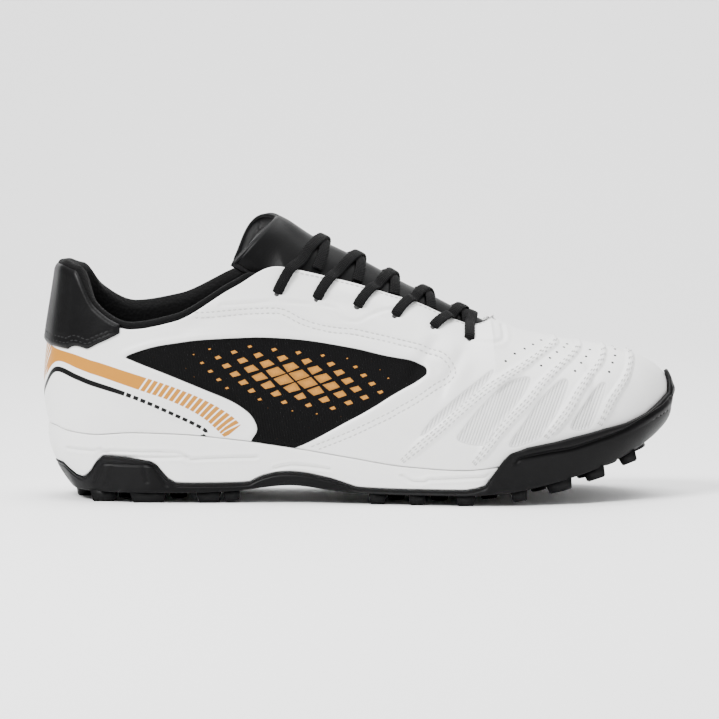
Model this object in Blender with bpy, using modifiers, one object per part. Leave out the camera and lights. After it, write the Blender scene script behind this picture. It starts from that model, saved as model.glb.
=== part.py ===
"""Turf shoe for the right foot, as separate solids.

X runs from heel to toe, Y to the inner side of the foot and Z up from the floor. The shoe's outline is
a ring of sections: along the outer side from heel to toe, and back along the inner side. Each section
is one curve of the upper, from its lower edge to the top edge or the ridge of the vamp, and the sole,
heel patch, collar and tongue are worked out from the same curves.
"""
import math

import bmesh
import bpy
import numpy as np
from mathutils import Matrix, Vector

# Overall sizes in metres
SHOE_LENGTH = 0.280
BALL_WIDTH = 0.100
UPPER_RISE = 0.070
SOLE_STACK = 0.0257
STUD_HEIGHT = 0.0045
TOE_SPRING = 0.025
ARCH_RISE = 0.0034

# Walls and clearances
WALL = 0.0022
CLEAR = 0.0003
SEAT_CLEAR = 0.0005
RUBBER_WALL = 0.0017
RUBBER_SHEET = 0.0017
EDGE_BEVEL = 0.0008
MIDSOLE_STEP = 0.0005
BITE_BEVEL = 0.0008
PATCH_THICKNESS = 0.0010
INSOLE_THICKNESS = 0.0035

# Throat, collar and tongue
THROAT_END = 0.7071
THROAT_ROUND = 0.011
COLLAR_ROLL = 0.0036
COLLAR_PAD = 0.0055
COLLAR_DEPTH = 0.026
TONGUE_PAD = 0.0055
TONGUE_EDGE = 0.0022

# Lace and eyelets
LACE_WIDTH = 0.0047
LACE_THICKNESS = 0.0011
LACE_TUCK = 0.75
LACE_LIFT = 0.0014
LACE_CREST = 0.0009
EYELET_RADIUS = 0.0021
EYELET_INSET = 0.0125

# Raised seams of the vamp
SEAM_WIDTH = 0.0050
SEAM_RISE = 0.0011
SEAM_TOP = 0.93

# Depth of the side window in the upper's wall
WINDOW_STEP = 0.0008

# One row for each section. along, top: shares of the length at the lower and the top edge. lateral,
# medial, mid, open_*: shares of the ball width. high_*: top edge above the lower edge, a share of the
# rise. sag: how far the throat's edges lie under the ridge. flare, up: first handle of the curve,
# shares of ball width and of height. lean, fall: its last handle. stack: sole thickness. spring,
# arch: lift of the sole. foot: how far the sole's foot stands out from the upper's lower edge.
SECTION_COLUMNS = (
    "along", "lateral", "medial", "stack", "spring", "arch", "foot",
    "top", "high_lateral", "high_medial", "sag", "open_lateral", "open_medial", "mid",
    "flare", "up", "lean", "fall",
)
SECTIONS = (
    (.0103, .000, .000, 1.11, .00, .00, -.105, .025, .98, .98, 0, .000, .000, 0, .060, .28, .036, .38),
    (.0212, .135, .135, 1.10, .00, .00, -.095, .034, .98, .98, 0, .095, .095, 0, .050, .28, .026, .38),
    (.0464, .220, .215, 1.02, .00, .00, -.060, .055, .98, .98, 0, .170, .165, 0, .045, .30, .025, .38),
    (.0875, .285, .275, 0.98, .00, .00, -.010, .088, .77, .85, 0, .245, .240, 0, .040, .30, .030, .36),
    (.1464, .320, .305, 1.02, .00, .00, .020, .143, .64, .73, 0, .295, .290, 0, .035, .33, .030, .36),
    (.2179, .335, .310, 1.00, .00, .00, .025, .214, .70, .78, 0, .315, .305, 0, .030, .33, .030, .36),
    (.3036, .340, .295, 0.88, .00, .25, .020, .304, .94, .98, 0, .300, .290, .005, .025, .33, .045, .30),
    (.3929, .355, .280, 0.65, .00, 1.0, .010, .379, 1.115, 1.12, 0, .255, .245, .010, .020, .34, .085, .22),
    (.4821, .385, .290, 0.60, .00, .20, .015, .479, 1.11, 1.12, .03, .200, .190, .015, .015, .36, .14, .14),
    (.5714, .425, .335, 0.48, .00, .00, .025, .571, 1.08, 1.08, .057, .165, .160, .020, .015, .36, .18, .11),
    (.6571, .465, .400, 0.43, .00, .00, .030, .654, .97, .97, .071, .125, .120, .025, .015, .36, .22, .09),
    (.7286, .467, .455, 0.46, .05, .00, .030, .718, .86, .86, .071, .100, .100, .030, .015, .36, .27, .05),
    (.7893, .435, .475, 0.45, .18, .00, .025, .761, .755, .755, 0, .080, .080, .035, .015, .38, .27, 0),
    (.8446, .378, .467, 0.43, .34, .00, .020, .796, .670, .670, 0, .060, .060, .042, .015, .40, .26, 0),
    (.8929, .303, .425, 0.41, .52, .00, .010, .825, .590, .590, 0, .040, .040, .048, .018, .42, .25, 0),
    (.9339, .212, .360, 0.39, .70, .00, -.005, .846, .521, .521, 0, .030, .030, .052, .022, .46, .25, 0),
    (.9643, .110, .280, 0.39, .86, .00, -.020, .861, .457, .457, 0, .020, .020, .056, .028, .50, .27, 0),
    (.9830, .008, .188, 0.39, .96, .00, -.030, .869, .417, .417, 0, .010, .010, .058, .035, .53, .29, 0),
    (.9886, -.090, .090, 0.39, 1.0, .00, -.035, .871, .401, .401, 0, .000, .000, .060, .040, .53, .29, 0),
)

# Top edge of the black rubber: share of the length, height above the sheet's foot over the stack
RUBBER_EDGE = (
    (.000, .48), (.029, .44), (.039, .35), (.053, .25), (.064, .23), (.072, .27), (.081, .36),
    (.090, .51), (.101, .62), (.137, .59), (.176, .52), (.186, .455), (.195, .34), (.203, .24),
    (.215, .165), (.243, .155), (.331, .125), (.340, .17), (.350, .20), (.371, .23), (.391, .23),
    (.422, .225), (.457, .20), (.477, .155), (.494, .10), (.514, .075), (.666, .09), (.684, .12),
    (.696, .16), (.704, .29), (.716, .46), (.722, .55), (.734, .66), (.760, .71), (.801, .69),
    (.833, .68), (.882, .63), (.915, .57), (.948, .56), (.964, .60), (.983, .68), (.9886, .97),
)
COVER_FROM = 0.690
COVER_FULL = 0.704
LEDGE = 0.0008

# Studs along the sole's edges: share of the length at the middle, length over the ball width
EDGE_STUDS = (
    (.101, .120), (.172, .165), (.266, .110), (.302, .075), (.530, .080), (.592, .078),
    (.666, .088), (.747, .074), (.809, .120), (.865, .100), (.922, .085),
)
# Studs inside the outline: share of the length, share of the way across from the outer edge
INNER_STUDS = (
    (.058, .5), (.135, .34), (.135, .66), (.216, .34), (.216, .66), (.262, .5),
    (.560, .32), (.560, .68), (.628, .28), (.628, .72), (.592, .5), (.664, .5), (.705, .30),
    (.705, .70), (.745, .5), (.780, .28), (.780, .72), (.822, .5), (.852, .30), (.852, .70),
    (.895, .5), (.945, .62),
)
EDGE_STUD_WIDTH = 0.0085
INNER_STUD_SIZE = 0.0078
STUD_TAPER = 0.80
STUD_INSET = 0.0050
STUD_ROOT = 0.0005

# Eyelets from the top one to the toe one, as shares of the length
EYELETS = (.372, .435, .500, .560, .620, .674)

# Raised seams on the side view: share of the length and share of UPPER_RISE + SOLE_STACK
SEAMS = (
    ((.803, .722), (.778, .670), (.752, .605), (.718, .535), (.686, .455), (.652, .375)),
    ((.845, .700), (.818, .640), (.788, .560), (.764, .475), (.737, .395), (.716, .330)),
    ((.884, .675), (.872, .600), (.848, .520), (.826, .445), (.803, .375)),
    ((.925, .665), (.917, .590), (.900, .515), (.882, .440)),
)

# Outline of the side window on the side view, in the same shares
WINDOW = (
    (.133, .660), (.172, .695), (.252, .735), (.318, .745), (.362, .735), (.416, .725), (.492, .690),
    (.536, .660), (.582, .630), (.607, .600), (.600, .572), (.556, .480), (.525, .425), (.486, .370),
    (.440, .320), (.404, .292), (.338, .330), (.330, .370), (.312, .430), (.284, .475), (.240, .530),
    (.185, .605),
)
# How near the middle of the shoe the side windows reach
WINDOW_NEAR = 0.008

# Lower edge of the heel patch: row of the section, share of its curve from the bottom
PATCH_EDGE = ((0.0, .56), (0.9, .54), (2.0, .55), (2.8, .67), (3.4, .84), (3.75, .95))

# Tongue above the throat: ridge and side edge as shares of the length and of UPPER_RISE +
# SOLE_STACK, half width as a share of the ball width
FLAP = (
    (.391, 1.272, .345, 1.010, .195),
    (.374, 1.297, .303, 1.080, .185),
)

# Row of the section where the collar's lining ends on either side
COLLAR_END_ROW = 6.55

# Rows between which the tongue lies in the throat, the rise of its ridge, and how much of the way to
# its edge its flat middle reaches once the throat is closed
TONGUE_FIRST_ROW = 7.0
TONGUE_LAST_ROW = 11.4
TONGUE_LIFT = 0.0105
TONGUE_CLOSED_HALF = 0.45
# Row, crown over the lift, and how far the ridge lies toward the toe over its rise
TONGUE_SHAPE = ((7.0, 1.45, .65), (8.0, 1.00, .60), (9.0, .68, .35), (11.0, .55, .20))

# Steps of the stations round the ring and up the wall. The sole takes the corners of the rubber's
# edge as stations up to CORNERS_END_ROW, and the upper's own stations beyond it.
STATION_STEP = 0.45
CORNERS_END_ROW = 11.25
WALL_ROWS = 6
LAST_ROW = len(SECTIONS) - 1
RING = 2 * LAST_ROW


# Curves through the sections
def table(rows, columns):
    """Column name to its values."""
    return {name: np.array([row[i] for row in rows], float) for i, name in enumerate(columns)}


def ring(lateral, medial):
    """Values round the ring: out along the lateral side, back along the medial one."""
    return np.concatenate([lateral, medial[-2:0:-1]])


def fair_slopes(values):
    """Slopes of the closed cubic spline through the values."""
    count = len(values)
    matrix = np.zeros((count, count))
    for i in range(count):
        matrix[i, i] = 4
        matrix[i, i - 1] = 1
        matrix[i, (i + 1) % count] = 1
    return np.linalg.solve(matrix, 3 * (np.roll(values, -1) - np.roll(values, 1)))


def held_slopes(values):
    """Slopes that never overshoot the values."""
    ahead = np.roll(values, -1) - values
    behind = values - np.roll(values, 1)
    steep = ahead + behind
    safe = np.where(np.abs(steep) < 1e-12, 1, steep)
    return np.where(ahead * behind > 0, 2 * ahead * behind / safe, 0)


def read_ring(values, slopes, place):
    """The curve through the ring's values at a place counted in rows."""
    place = np.asarray(place, float) % RING
    low = np.floor(place).astype(int) % RING
    high = (low + 1) % RING
    t = place - np.floor(place)
    a = values[low] * (1 + 2 * t) * (1 - t) ** 2 + values[high] * t * t * (3 - 2 * t)
    return a + slopes[low] * t * (1 - t) ** 2 - slopes[high] * t * t * (1 - t)


ROWS = table(SECTIONS, SECTION_COLUMNS)
FAIR = {
    "x": ring(ROWS["along"], ROWS["along"]) * SHOE_LENGTH - SHOE_LENGTH / 2,
    "y": ring(-ROWS["lateral"], ROWS["medial"]) * BALL_WIDTH,
}
SHEET = STUD_HEIGHT + ROWS["spring"] * TOE_SPRING + ROWS["arch"] * ARCH_RISE
BITE = SHEET + ROWS["stack"] * SOLE_STACK
HELD = {
    "sheet": ring(SHEET, SHEET),
    "bite": ring(BITE, BITE),
    "foot": ring(ROWS["foot"], ROWS["foot"]) * BALL_WIDTH,
    "top_x": ring(ROWS["top"], ROWS["top"]) * SHOE_LENGTH - SHOE_LENGTH / 2,
    "high": ring(ROWS["high_lateral"], ROWS["high_medial"]) * UPPER_RISE,
    "sag": ring(ROWS["sag"], ROWS["sag"]) * UPPER_RISE,
    "open": ring(ROWS["open_lateral"], ROWS["open_medial"]) * BALL_WIDTH,
    "mid": ring(ROWS["mid"], ROWS["mid"]) * BALL_WIDTH,
    "flare": ring(ROWS["flare"], ROWS["flare"]) * BALL_WIDTH,
    "up": ring(ROWS["up"], ROWS["up"]),
    "lean": ring(ROWS["lean"], ROWS["lean"]) * BALL_WIDTH,
    "fall": ring(ROWS["fall"], ROWS["fall"]),
}
CURVES = {name: (values, fair_slopes(values)) for name, values in FAIR.items()}
CURVES.update({name: (values, held_slopes(values)) for name, values in HELD.items()})


def read(name, place):
    """One column at a place on the ring."""
    return read_ring(*CURVES[name], place)


def side_of(place):
    """-1 on the lateral side and 1 on the medial side."""
    return np.where(np.asarray(place, float) % RING <= LAST_ROW, -1.0, 1.0)


def outward(place):
    """Level direction that points out of the shoe at a place on the ring."""
    step = 0.02
    dx = read("x", place + step) - read("x", place - step)
    dy = read("y", place + step) - read("y", place - step)
    size = np.hypot(dx, dy)
    return np.stack([dy / size, -dx / size, np.zeros_like(size)], axis=-1)


def gap_share(top_x):
    """1 along the throat, falling to 0 round its toe end."""
    end = THROAT_END * SHOE_LENGTH - SHOE_LENGTH / 2
    into = np.clip((top_x - (end - THROAT_ROUND)) / THROAT_ROUND, 0, 1)
    return np.sqrt(1 - into ** 2)


def upper_handles(place):
    """The four points of the section curve at a place on the ring."""
    place = np.asarray(place, float)
    foot = np.stack([read("x", place), read("y", place), read("bite", place)], axis=-1)
    top_x = read("top_x", place)
    share = gap_share(top_x)
    top_y = read("mid", place) + side_of(place) * read("open", place) * share
    top_z = read("bite", place) + read("high", place) - read("sag", place) * share ** 2
    top = np.stack([top_x, top_y, top_z], axis=-1)
    height = (top_z - foot[..., 2])[..., None]
    out = outward(place)
    rise = np.array([0, 0, 1.0])
    first = foot + out * read("flare", place)[..., None] + rise * height * read("up", place)[..., None]
    drop = (read("fall", place) * share)[..., None]
    last = top + out * read("lean", place)[..., None] - rise * height * drop
    return foot, first, last, top


def upper_point(place, along):
    """Point on the upper's outer face, along from 0 at its lower edge to 1 at its top."""
    foot, first, last, top = upper_handles(place)
    t = np.asarray(along, float)[..., None]
    return (foot * (1 - t) ** 3 + first * 3 * t * (1 - t) ** 2
            + last * 3 * t * t * (1 - t) + top * t ** 3)


def upper_normal(place, along):
    """Outward direction square to the upper's outer face."""
    step = 0.01
    place = np.asarray(place, float)
    along = np.clip(np.asarray(along, float), 0.01, 0.97)
    forward = upper_point(place + step, along) - upper_point(place - step, along)
    upward = upper_point(place, along + step) - upper_point(place, along - step)
    normal = np.cross(forward, upward)
    return normal / np.linalg.norm(normal, axis=-1, keepdims=True)


def upper_offset(place, along, distance):
    """Point at a distance outside the upper's outer face."""
    return upper_point(place, along) + upper_normal(place, along) * distance


def place_where(name, value, low, high):
    """Place between two rows where a rising column reaches a value."""
    for _ in range(40):
        middle = (low + high) / 2
        if read(name, middle) < value:
            low = middle
        else:
            high = middle
    return (low + high) / 2


def on_side(share_along, share_up, side):
    """Row and curve share of the upper's point at a place on the side view."""
    x = share_along * SHOE_LENGTH - SHOE_LENGTH / 2
    z = share_up * (UPPER_RISE + SOLE_STACK)
    rows, alongs = np.meshgrid(np.linspace(0.2, 17.8, 89), np.linspace(0.02, 0.94, 47))
    grid = upper_point(rows if side < 0 else RING - rows, alongs)
    nearest = np.argmin((grid[..., 0] - x) ** 2 + (grid[..., 2] - z) ** 2)
    row = float(rows.flat[nearest])
    along = float(alongs.flat[nearest])
    for _ in range(12):
        place = row if side < 0 else RING - row
        here = upper_point(place, along)
        d_row = (upper_point(place - side * 0.01, along) - here) / 0.01
        d_along = (upper_point(place, along + 0.01) - here) / 0.01
        matrix = np.array([[d_row[0], d_along[0]], [d_row[2], d_along[2]]])
        move = np.linalg.lstsq(matrix, np.array([x - here[0], z - here[2]]), rcond=None)[0]
        row = row + float(np.clip(move[0], -0.1, 0.1))
        along = float(np.clip(along + np.clip(move[1], -0.02, 0.02), 0.02, 0.95))
    return (row if side < 0 else RING - row), along


# Stations round the ring
def even_rows():
    """Rows from heel to toe at even steps."""
    return list(np.arange(0, LAST_ROW + STATION_STEP / 2, STATION_STEP))


def throat_rows():
    """Rows that follow the round toe end of the throat."""
    end = THROAT_END * SHOE_LENGTH - SHOE_LENGTH / 2
    bends = [math.sin(math.radians(turn)) for turn in (0, 30, 55, 75, 90)]
    return [place_where("top_x", end - THROAT_ROUND * (1 - bend), 8, 13) for bend in bends]


def spaced(rows, least):
    """Sorted rows without any that lie closer than the least step to the one before."""
    kept = []
    for row in sorted(rows):
        if not kept or row - kept[-1] > least:
            kept.append(row)
    return kept


def around(rows):
    """The rows out along the lateral side and back along the medial side."""
    return np.array(rows + [RING - row for row in reversed(rows[1:-1])])


def upper_rows():
    """Stations of the upper: even ones, with finer ones round the end of the throat."""
    special = throat_rows()
    plain = [row for row in even_rows() if min(abs(row - other) for other in special) > 0.12]
    return sorted(plain + special)


def heel_rows(last):
    """Stations of the upper round the heel, as far as a row on either side."""
    rows = [row for row in upper_rows() if 0 < row < last - 0.1] + [last]
    return [-row for row in reversed(rows)] + [0.0] + rows


def sole_rows():
    """Stations of the sole: the upper's even ones, with the corners of the rubber's edge."""
    corners = []
    for share, _ in RUBBER_EDGE:
        x = share * SHOE_LENGTH - SHOE_LENGTH / 2
        if read("x", 0) < x < read("x", CORNERS_END_ROW):
            corners.append(place_where("x", x, 0, CORNERS_END_ROW))
    corners = [row for row in corners if row > 0.4]
    plain = []
    for row in even_rows():
        if row > CORNERS_END_ROW or min(abs(row - corner) for corner in corners) > 0.25:
            plain.append(row)
    return spaced(plain + corners, 0.05)


# Side faces of the sole
def covered(place):
    """0 where the midsole shows under the upper, 1 where rubber covers it."""
    share = (read("x", place) + SHOE_LENGTH / 2) / SHOE_LENGTH
    t = np.clip((share - COVER_FROM) / (COVER_FULL - COVER_FROM), 0, 1)
    return t * t * (3 - 2 * t)


def rubber_top(place):
    """Height of the rubber's top edge."""
    share = (read("x", place) + SHOE_LENGTH / 2) / SHOE_LENGTH
    edge = np.array(RUBBER_EDGE)
    rise = np.interp(share, edge[:, 0], edge[:, 1]) * SOLE_STACK
    least = RUBBER_SHEET + 2 * CLEAR
    return read("sheet", place) + np.maximum(rise, least)


def height_on_upper(place, height):
    """Curve share where the upper reaches a height."""
    low = np.zeros_like(height)
    high = np.full_like(height, 0.8)
    for _ in range(30):
        middle = (low + high) / 2
        below = upper_point(place, middle)[..., 2] < height
        low = np.where(below, middle, low)
        high = np.where(below, high, middle)
    return (low + high) / 2


def sole_side(place, height, inset):
    """Point of the sole's outer face at a height, moved in by an inset."""
    bite = read("bite", place)
    sheet = read("sheet", place)
    ledge = LEDGE + (SEAT_CLEAR + RUBBER_WALL - LEDGE) * covered(place)
    share = np.clip((height - sheet) / (bite - sheet), 0, 1)
    reach = read("foot", place) + (ledge - read("foot", place)) * (1 - (1 - share) ** 2.2)
    out = outward(place)
    low = np.stack([read("x", place), read("y", place), height], axis=-1)
    low = low + out * (reach - inset)[..., None]
    along = height_on_upper(place, np.maximum(height, bite))
    normal = upper_normal(place, along)
    high = upper_point(place, along) + normal * (SEAT_CLEAR + RUBBER_WALL - inset)[..., None]
    return np.where((height > bite)[..., None], high, low)


# Mesh helpers
def new_collection(name):
    """A collection in the scene."""
    collection = bpy.data.collections.new(name)
    bpy.context.scene.collection.children.link(collection)
    return collection


def new_object(name, mesh, collection):
    """An object with a mesh, in a collection."""
    thing = bpy.data.objects.new(name, mesh)
    collection.objects.link(thing)
    return thing


def finish_mesh(shape, name):
    """Mesh made from a bmesh, with its faces turned outward."""
    bmesh.ops.remove_doubles(shape, verts=shape.verts, dist=0.00001)
    bmesh.ops.recalc_face_normals(shape, faces=shape.faces)
    mesh = bpy.data.meshes.new(name)
    shape.to_mesh(mesh)
    shape.free()
    mesh.shade_smooth()
    mesh.set_sharp_from_angle(angle=math.radians(38))
    return mesh


def add_grid(shape, points, closed):
    """Quads between rows of points; closed joins the last column to the first."""
    made = [[shape.verts.new(point) for point in row] for row in points]
    columns = len(made[0])
    for lower, upper in zip(made, made[1:]):
        for i in range(columns if closed else columns - 1):
            j = (i + 1) % columns
            shape.faces.new((lower[i], lower[j], upper[j], upper[i]))
    return made


def add_ladder(shape, loop):
    """Fill a ring with strips across, from each lateral vertex to its medial one."""
    count = len(loop)
    half = count // 2
    for i in range(half):
        corners = [loop[i], loop[i + 1], loop[(count - i - 1) % count], loop[(count - i) % count]]
        face = [vert for k, vert in enumerate(corners) if vert not in corners[:k]]
        shape.faces.new(face)


def add_tube(shape, sections):
    """Closed sections in a row with filled ends, added to a shape."""
    made = add_grid(shape, sections, True)
    shape.faces.new(list(reversed(made[0])))
    shape.faces.new(made[-1])


def ring_body(name, rings):
    """Closed body from rings, the first and the last filled across."""
    shape = bmesh.new()
    made = add_grid(shape, rings, True)
    add_ladder(shape, made[0])
    add_ladder(shape, made[-1])
    return finish_mesh(shape, name)


def tube_body(name, sections):
    """Closed body from closed sections in a row, with filled ends."""
    shape = bmesh.new()
    add_tube(shape, sections)
    return finish_mesh(shape, name)


def add_boolean(target, cutter, operation, folded=False):
    """Exact boolean of a target with a helper object; folded heeds faces that cross their own mesh."""
    step = target.modifiers.new(cutter.name, 'BOOLEAN')
    step.operation = operation
    step.solver = 'EXACT'
    step.object = cutter
    step.use_self = folded


def as_helper(thing):
    """Mark an object as a cutter or a guide."""
    thing.hide_render = True
    thing.display_type = 'WIRE'
    return thing


def make_material(name, color, roughness):
    """Plain Principled material."""
    material = bpy.data.materials.new(name)
    material.use_nodes = True
    shader = material.node_tree.nodes["Principled BSDF"]
    shader.inputs["Base Color"].default_value = (*color, 1)
    shader.inputs["Roughness"].default_value = roughness
    shader.inputs["Metallic"].default_value = 0
    return material


# Upper
def upper_wall():
    """Wall of the upper with both its faces, open underneath and at collar and throat."""
    places = around(upper_rows())
    count = len(places)
    levels = [np.full(count, i / WALL_ROWS) for i in range(WALL_ROWS + 1)]
    outer = [upper_point(places, along) for along in levels]
    inner = [upper_offset(places, along, -WALL) for along in levels]
    closed = gap_share(read("top_x", places)) < 0.001
    mirrored = np.roll(inner[-1][::-1], 1, axis=0)
    inner[-1] = np.where(closed[:, None], (inner[-1] + mirrored) / 2, inner[-1])
    shape = bmesh.new()
    outside = add_grid(shape, outer, True)
    inside = add_grid(shape, inner, True)
    for i in range(count):
        j = (i + 1) % count
        shape.faces.new((outside[0][i], outside[0][j], inside[0][j], inside[0][i]))
        if not (closed[i] and closed[j]):
            shape.faces.new((outside[-1][i], outside[-1][j], inside[-1][j], inside[-1][i]))
    return finish_mesh(shape, "upper")


def eyelet_place(share, side):
    """Ring place of an eyelet, and its share of the section curve."""
    row = place_where("top_x", share * SHOE_LENGTH - SHOE_LENGTH / 2, 6.5, 12)
    place = row if side < 0 else RING - row
    edge = upper_point(place, 1.0)
    along = 1.0
    while np.linalg.norm(upper_point(place, along) - edge) < EYELET_INSET:
        along -= 0.002
    return place, along


def eyelet_cutter(cutters):
    """One cutter with the twelve eyelet holes."""
    shape = bmesh.new()
    for share in EYELETS:
        for side in (-1, 1):
            place, along = eyelet_place(share, side)
            middle = Vector(upper_offset(place, along, -WALL / 2))
            normal = Vector(upper_normal(place, along))
            turn = normal.to_track_quat('Z', 'Y').to_matrix().to_4x4()
            bmesh.ops.create_cone(
                shape, cap_ends=True, segments=8, radius1=EYELET_RADIUS, radius2=EYELET_RADIUS,
                depth=WALL * 3, matrix=Matrix.Translation(middle) @ turn)
    return as_helper(new_object("eyelet_holes", finish_mesh(shape, "eyelet_holes"), cutters))


def seam_sections(path, side):
    """Sections of a raised seam along a path on the side view, bedded in the wall."""
    spots = [on_side(*point, side) for point in path]
    place, along = spots[0]
    spots.insert(0, (place, min(SEAM_TOP, along + 0.09)))
    points = [Vector(upper_point(*spot)) for spot in spots]
    sections = []
    for i, spot in enumerate(spots):
        ahead = points[min(i + 1, len(points) - 1)] - points[max(i - 1, 0)]
        normal = Vector(upper_normal(*spot))
        across = ahead.cross(normal).normalized() * SEAM_WIDTH / 2
        base = points[i] - normal * WALL * 0.4
        crest = points[i] + normal * SEAM_RISE
        sections.append([base - across, crest - across * 0.5, crest + across * 0.5, base + across])
    return sections


def seam_helper(cutters):
    """The raised seams of both sides as one helper mesh."""
    shape = bmesh.new()
    for side in (-1, 1):
        for path in SEAMS:
            add_tube(shape, seam_sections(path, side))
    return as_helper(new_object("seams", finish_mesh(shape, "seams"), cutters))


def skin_helper(cutters):
    """Layer that reaches a window's step into the upper's wall and stands out of it."""
    places = around(upper_rows())
    levels = [np.full(len(places), i / WALL_ROWS) for i in range(WALL_ROWS)]
    outer = [upper_offset(places, along, WALL / 2) for along in levels]
    inner = [upper_offset(places, along, -WINDOW_STEP) for along in levels]
    shape = bmesh.new()
    add_grid(shape, outer + inner[::-1] + outer[:1], True)
    return as_helper(new_object("skin", finish_mesh(shape, "skin"), cutters))


def window_helper(cutters):
    """The side windows of both sides as one cutter, as deep as the skin."""
    shape = bmesh.new()
    for side in (-1, 1):
        loops = []
        for reach in (WINDOW_NEAR, BALL_WIDTH):
            loop = []
            for share_along, share_up in WINDOW:
                x = share_along * SHOE_LENGTH - SHOE_LENGTH / 2
                loop.append((x, side * reach, share_up * (UPPER_RISE + SOLE_STACK)))
            loops.append(loop)
        add_tube(shape, loops)
    windows = as_helper(new_object("windows", finish_mesh(shape, "windows"), cutters))
    add_boolean(windows, skin_helper(cutters), 'INTERSECT')
    return windows


def make_upper(parts, cutters):
    """The upper: one wall with its eyelets, side windows and raised seams."""
    upper = new_object("upper", upper_wall(), parts)
    add_boolean(upper, eyelet_cutter(cutters), 'DIFFERENCE')
    add_boolean(upper, window_helper(cutters), 'DIFFERENCE')
    add_boolean(upper, seam_helper(cutters), 'UNION')
    upper.data.materials.append(make_material("white_leather", (0.86, 0.86, 0.85), 0.45))
    return upper


# Sole
def make_outsole(parts, cutters):
    """Rubber tray with its heel sides, toe bumper and studs."""
    places = around(sole_rows())
    sheet = read("sheet", places)
    floor = sheet + RUBBER_SHEET
    edge = sheet + EDGE_BEVEL
    rim = np.maximum(rubber_top(places), floor + CLEAR)
    bite = read("bite", places)
    knee = np.where(rim > bite, bite, (floor + rim) / 2)
    none = np.zeros_like(sheet)
    rings = [sole_side(places, sheet, none + EDGE_BEVEL)]
    for height in (edge, knee, (knee + rim) / 2, rim):
        rings.append(sole_side(places, height, none))
    for height in (rim, (knee + rim) / 2, knee, (knee + floor) / 2, floor):
        rings.append(sole_side(places, height, none + RUBBER_WALL))
    outsole = new_object("outsole", ring_body("outsole", rings), parts)
    add_boolean(outsole, stud_helper(cutters), 'UNION', True)
    outsole.data.materials.append(make_material("black_rubber", (0.012, 0.012, 0.013), 0.5))
    return outsole


def add_stud(shape, x, across, length, width, corners):
    """Tapered stud under the sheet at a share of the way across."""
    row = place_where("x", x, 0, LAST_ROW)
    here = np.array([row, RING - row])
    ends = sole_side(here, read("sheet", here), np.full(2, EDGE_BEVEL))
    margin = STUD_INSET / np.linalg.norm(ends[1] - ends[0])
    middle = Vector(ends[0]).lerp(Vector(ends[1]), margin + (1 - 2 * margin) * across)
    top = float(read("sheet", row)) + STUD_ROOT
    slope = math.atan2(float(read("sheet", row + 0.3) - read("sheet", row - 0.3)),
                       float(read("x", row + 0.3) - read("x", row - 0.3)))
    bottom = max(abs(math.sin(slope)) * length / 2, float(read("sheet", row)) - STUD_HEIGHT)
    middle.z = (top + bottom) / 2
    swing = Vector(ends[0] - ends[1]).to_2d()
    turn = Matrix.Rotation(math.atan2(swing.x, -swing.y) * 0.5, 4, 'Z')
    place = Matrix.Translation(middle) @ Matrix.Rotation(-slope, 4, 'Y') @ turn
    size = Matrix.Diagonal((length / 2, width / 2, 1, 1))
    start = Matrix.Rotation(math.pi / corners, 4, 'Z')
    reach = 1 / math.cos(math.pi / corners)
    bmesh.ops.create_cone(
        shape, cap_ends=True, segments=corners, radius1=reach * STUD_TAPER, radius2=reach,
        depth=top - bottom, matrix=place @ size @ start)


def stud_helper(cutters):
    """All studs as one helper mesh of separate blocks."""
    shape = bmesh.new()
    for share, length in EDGE_STUDS:
        for across in (0, 1):
            add_stud(shape, share * SHOE_LENGTH - SHOE_LENGTH / 2, across,
                     length * BALL_WIDTH, EDGE_STUD_WIDTH, 4)
    for share, across in INNER_STUDS:
        add_stud(shape, share * SHOE_LENGTH - SHOE_LENGTH / 2, across,
                 INNER_STUD_SIZE, INNER_STUD_SIZE, 6)
    return as_helper(new_object("studs", finish_mesh(shape, "studs"), cutters))


def make_midsole(parts):
    """Foam body in the rubber tray, its side proud of the hidden part."""
    places = around(sole_rows())
    top = read("bite", places) - CLEAR
    floor = read("sheet", places) + RUBBER_SHEET
    rim = np.maximum(rubber_top(places), floor + CLEAR)
    low = floor + CLEAR
    neck = np.maximum(np.minimum(rim + CLEAR, top - 5 * CLEAR), low + CLEAR)
    hidden = np.full_like(top, RUBBER_WALL + SEAT_CLEAR)
    shown = MIDSOLE_STEP + (hidden - MIDSOLE_STEP) * covered(places)
    rings = [
        sole_side(places, low, hidden),
        sole_side(places, (low + neck) / 2, hidden),
        sole_side(places, neck, hidden),
        sole_side(places, neck + CLEAR, shown),
        sole_side(places, (neck + top) / 2, shown),
        sole_side(places, top - CLEAR * 1.5, shown),
        sole_side(places, top, shown + BITE_BEVEL),
    ]
    midsole = new_object("midsole", ring_body("midsole", rings), parts)
    midsole.data.materials.append(make_material("white_foam", (0.85, 0.85, 0.84), 0.55))
    return midsole


def make_insole(parts):
    """Sock liner on the midsole, inside the upper."""
    places = around(spaced(even_rows(), 0.5))
    inset = WALL + 4 * CLEAR
    bottom = read("bite", places)
    rings = []
    for rise, more in ((0, 0.0004), (0.5, 0), (1, 0.0008)):
        height = bottom + INSOLE_THICKNESS * rise
        edge = np.stack([read("x", places), read("y", places), height], axis=-1)
        rings.append(edge - outward(places) * (inset + more))
    insole = new_object("insole", ring_body("insole", rings), parts)
    insole.data.materials.append(make_material("black_insole", (0.03, 0.03, 0.03), 0.9))
    return insole


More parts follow.
